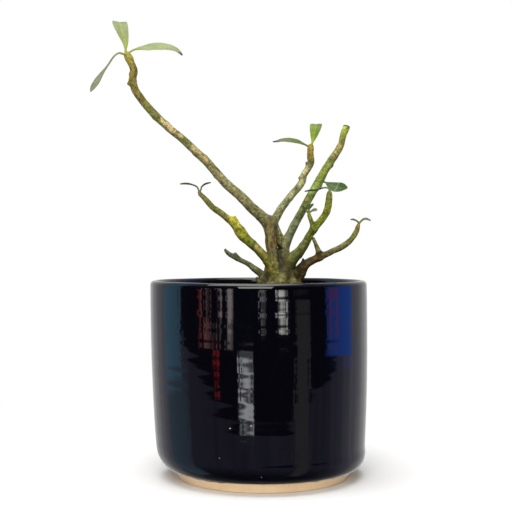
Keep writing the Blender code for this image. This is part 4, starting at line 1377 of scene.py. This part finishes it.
# Share of the leaf's length that has dried to a dark point
DRIED_TIPS = {"leaf_long_right": 0.1, "leaf_middle_left": 0.16, "leaf_front_left": 0.2}
LEAF_RINGS = 84
LEAF_COLUMNS = 40
BLADE_THICKNESS = 0.9
STALK_HALF_WIDTH = 0.7
TIP_HALF_WIDTH = 0.12
FULL_SIZE = 4.0  # a leaf narrower than this half-width has shallower ribs, veins and waves
LEAF_TINT = (0.47, 0.49, 0.34)


# %% Leaf surface
def half_width(share, widest, stalk, peak):
    """Half-width along a leaf: the stalk's, then a swell sin(pi b^n)^0.75 of the blade share b, where n
    puts the widest place at the peak share, and a small blunt tip."""
    blade = np.clip((share - stalk) / (1 - stalk), 0, 1)
    swell = np.clip(np.sin(math.pi * blade ** (math.log(0.5) / math.log(peak))), 0, 1) ** 0.75
    return STALK_HALF_WIDTH * (1 - blade) + (widest - STALK_HALF_WIDTH * 0.3) * swell + TIP_HALF_WIDTH


def leaf_grid(name, midrib, widest, stalk, peak, face, tip_face, seed):
    """Rings of a lens section. Across it, a runs from -1 to 1 and back under: the offset to the side is the
    half-width times a, the thickness falls as (1 - a^2)^0.6, the fold lifts the sides by |a|, and noise
    waves the margin. Returns the rings, each point's share of length, a, and whether it is on the upper
    side."""
    base = np.array(STALK_BASES[name])
    route = smooth_route([tuple(base), *midrib], 0.3)
    run = np.concatenate([[0], np.cumsum(np.linalg.norm(np.diff(route, axis=0), axis=1))])
    rooted = float(np.linalg.norm(np.array(midrib[0]) - base))
    wanted = rooted + (run[-1] - rooted) * np.linspace(0, 1, LEAF_RINGS - 6) ** 0.9
    wanted = np.concatenate([np.linspace(0, rooted, 6, endpoint=False), wanted])
    spine = np.column_stack([np.interp(wanted, run, route[:, i]) for i in range(3)])
    share = np.clip((wanted - rooted) / (run[-1] - rooted), 0, 1)[:, None]
    ahead = np.gradient(spine, axis=0)
    ahead /= np.linalg.norm(ahead, axis=1, keepdims=True)
    upper = np.array(face) * (1 - share) + np.array(tip_face) * share
    aside = np.cross(ahead, upper)
    aside /= np.linalg.norm(aside, axis=1, keepdims=True)
    upper = np.cross(aside, ahead)
    half = half_width(share, widest, stalk, peak)
    blade = smoothstep(share, stalk, stalk + 0.15)
    turn = -np.linspace(0, math.tau, LEAF_COLUMNS, endpoint=False)[None]  # this way round, faces look outward
    a = np.cos(turn)
    side = np.sin(turn)
    lens = np.sign(side) * np.abs(side) ** 1.2
    thick = np.minimum(BLADE_THICKNESS, half * 1.2) / 2
    round_stalk = np.minimum(thick * 1.25, half * 0.9)
    depth = np.where(side > 0, thick * (1 - 0.25 * blade), thick) * blade + round_stalk * (1 - blade)
    size = min(1, widest / FULL_SIZE)
    rib = np.exp(-0.5 * (a / 0.10) ** 2) * blade * (1 - share) ** 0.5
    lift = depth * lens + rib * np.where(side > 0, -0.10, -0.35) * size
    lift = lift + blade * half * 0.16 * (np.abs(a) - 0.35)
    veins = blade * 0.035 * np.sin(math.tau * (share * 11 + np.abs(a) * 1.3)) * (1 - np.abs(a)) * np.abs(side)
    lift = lift + veins * size
    place = spine[:, None] + aside[:, None] * (half * a)[..., None]
    wave = 0.35 * size * noise(place, 4.5, seed) * np.abs(a) ** 2 * blade
    points = place + upper[:, None] * (lift + wave)[..., None]
    return points, np.broadcast_to(share, points.shape[:2]), np.broadcast_to(a, points.shape[:2]), side


def leaf_tones(name, points, share, a, side, seed):
    """Blade colour from stalk to tip, a paler midrib that fades towards the tip, faint paler side veins, a
    thin pale margin that is a painted edge highlight and a duller underside, with a mottle of 3 mm."""
    stalk_tone, near, tip, under = (linear(code) for code in LEAF_TONES[name])
    s = share[..., None]
    blade = near * (1 - s) + tip * s
    blade = np.where(np.broadcast_to(side > 0, share.shape)[..., None], blade, under)
    blade_start = smoothstep(share, 0.1, 0.3)
    rib = np.exp(-0.5 * (a / (0.05 + 0.16 * (1 - share) ** 3)) ** 2) * (1 - 0.55 * share)
    stem = 1 - smoothstep(share, 0.05, 0.22)
    rib = np.clip(np.maximum(rib * 0.85, stem), 0, 1)[..., None]
    tone = blade * (1 - rib) + stalk_tone * rib
    vein = np.clip(np.sin(math.tau * (share * 11 + np.abs(a) * 1.3)), 0, 1) ** 6 * (1 - np.abs(a))
    # Painted highlight: a thin pale band along each leaf's edge, where the edges catch the light.
    margin = smoothstep(np.abs(a), 0.86, 0.99)
    pale = (0.16 * vein + 0.22 * margin)[..., None]
    tone = tone * (1 - pale) + linear("#d5dca8") * pale
    dry = DRIED_TIPS.get(name, 0)
    dried = smoothstep(share, 1 - dry, 1.001 - 0.5 * dry)[..., None]
    tone = tone * (1 - dried) + linear("#6b6270") * dried
    if name == "leaf_tall_right":
        crease = 0.7 * np.exp(-0.5 * ((share - 0.55 - 0.05 * a) / 0.018) ** 2)
        crease = (crease * (np.abs(a) < 0.92))[..., None]
        tone = tone * (1 - crease) + linear("#a9c090") * crease
    # Painted shade: on leaf_middle_up one half of the blade, beside the midrib, is darkened by up to a third,
    # as the half turned from the light.
    if name == "leaf_middle_up":
        tone = tone * (1 - 0.3 * smoothstep(a, -0.1, 0.15) * blade_start)[..., None]
    if name == "leaf_long_drooping":
        tone = tone * (1 + 0.28 * np.sin(9 * a) * smoothstep(share, 0.35, 0.5))[..., None]
    mottle = 1 + 0.12 * noise(points, 3.0, seed) + 0.05 * noise(points, 1.0, seed + 1)
    return LEAF_TINT * tone * mottle[..., None]


# %% [markdown]
# A leaf's skin is a wax film over green tissue: an index near 1.4 and a soft shine.


# %% Leaf finish and build
def waxy_leaf():
    """Point colours under a satin shine, with a fine bump of cells."""
    finish, tree, output, where, tone = toned_finish("waxy_succulent_leaf")
    mottle = speckle(tree, where, 700.0, 3.0)
    base = scaled(tree, tone, ramp(tree, mottle, 0.3, 0.7, 0.95, 1.05))
    cells = node(tree, "ShaderNodeTexVoronoi", {"Vector": where, "Scale": 1300.0}).outputs["Distance"]
    rough = ramp(tree, mottle, 0.0, 1.0, 0.34, 0.5)
    coat(tree, output, base, rough, 1.4, cells, 0.08, 0.00015, shine=0.3)
    return finish


leaf_finish = waxy_leaf()
for number, (leaf_name, leaf) in enumerate(LEAVES.items()):
    rings, share, a, side = leaf_grid(leaf_name, *leaf, seed=80 + number)
    tones = leaf_tones(leaf_name, rings, share, a, side, 100 + 2 * number)
    vertices, faces = closed_skin(rings)
    tones = np.concatenate([tones.reshape(-1, 3), tones[:1].mean(1), tones[-1:].mean(1)])
    skin = shell(leaf_name + "_skin", vertices, faces, leaf_finish, np.clip(tones, 0, 1))
    stands_for(skin, "leaf", leaf_name)
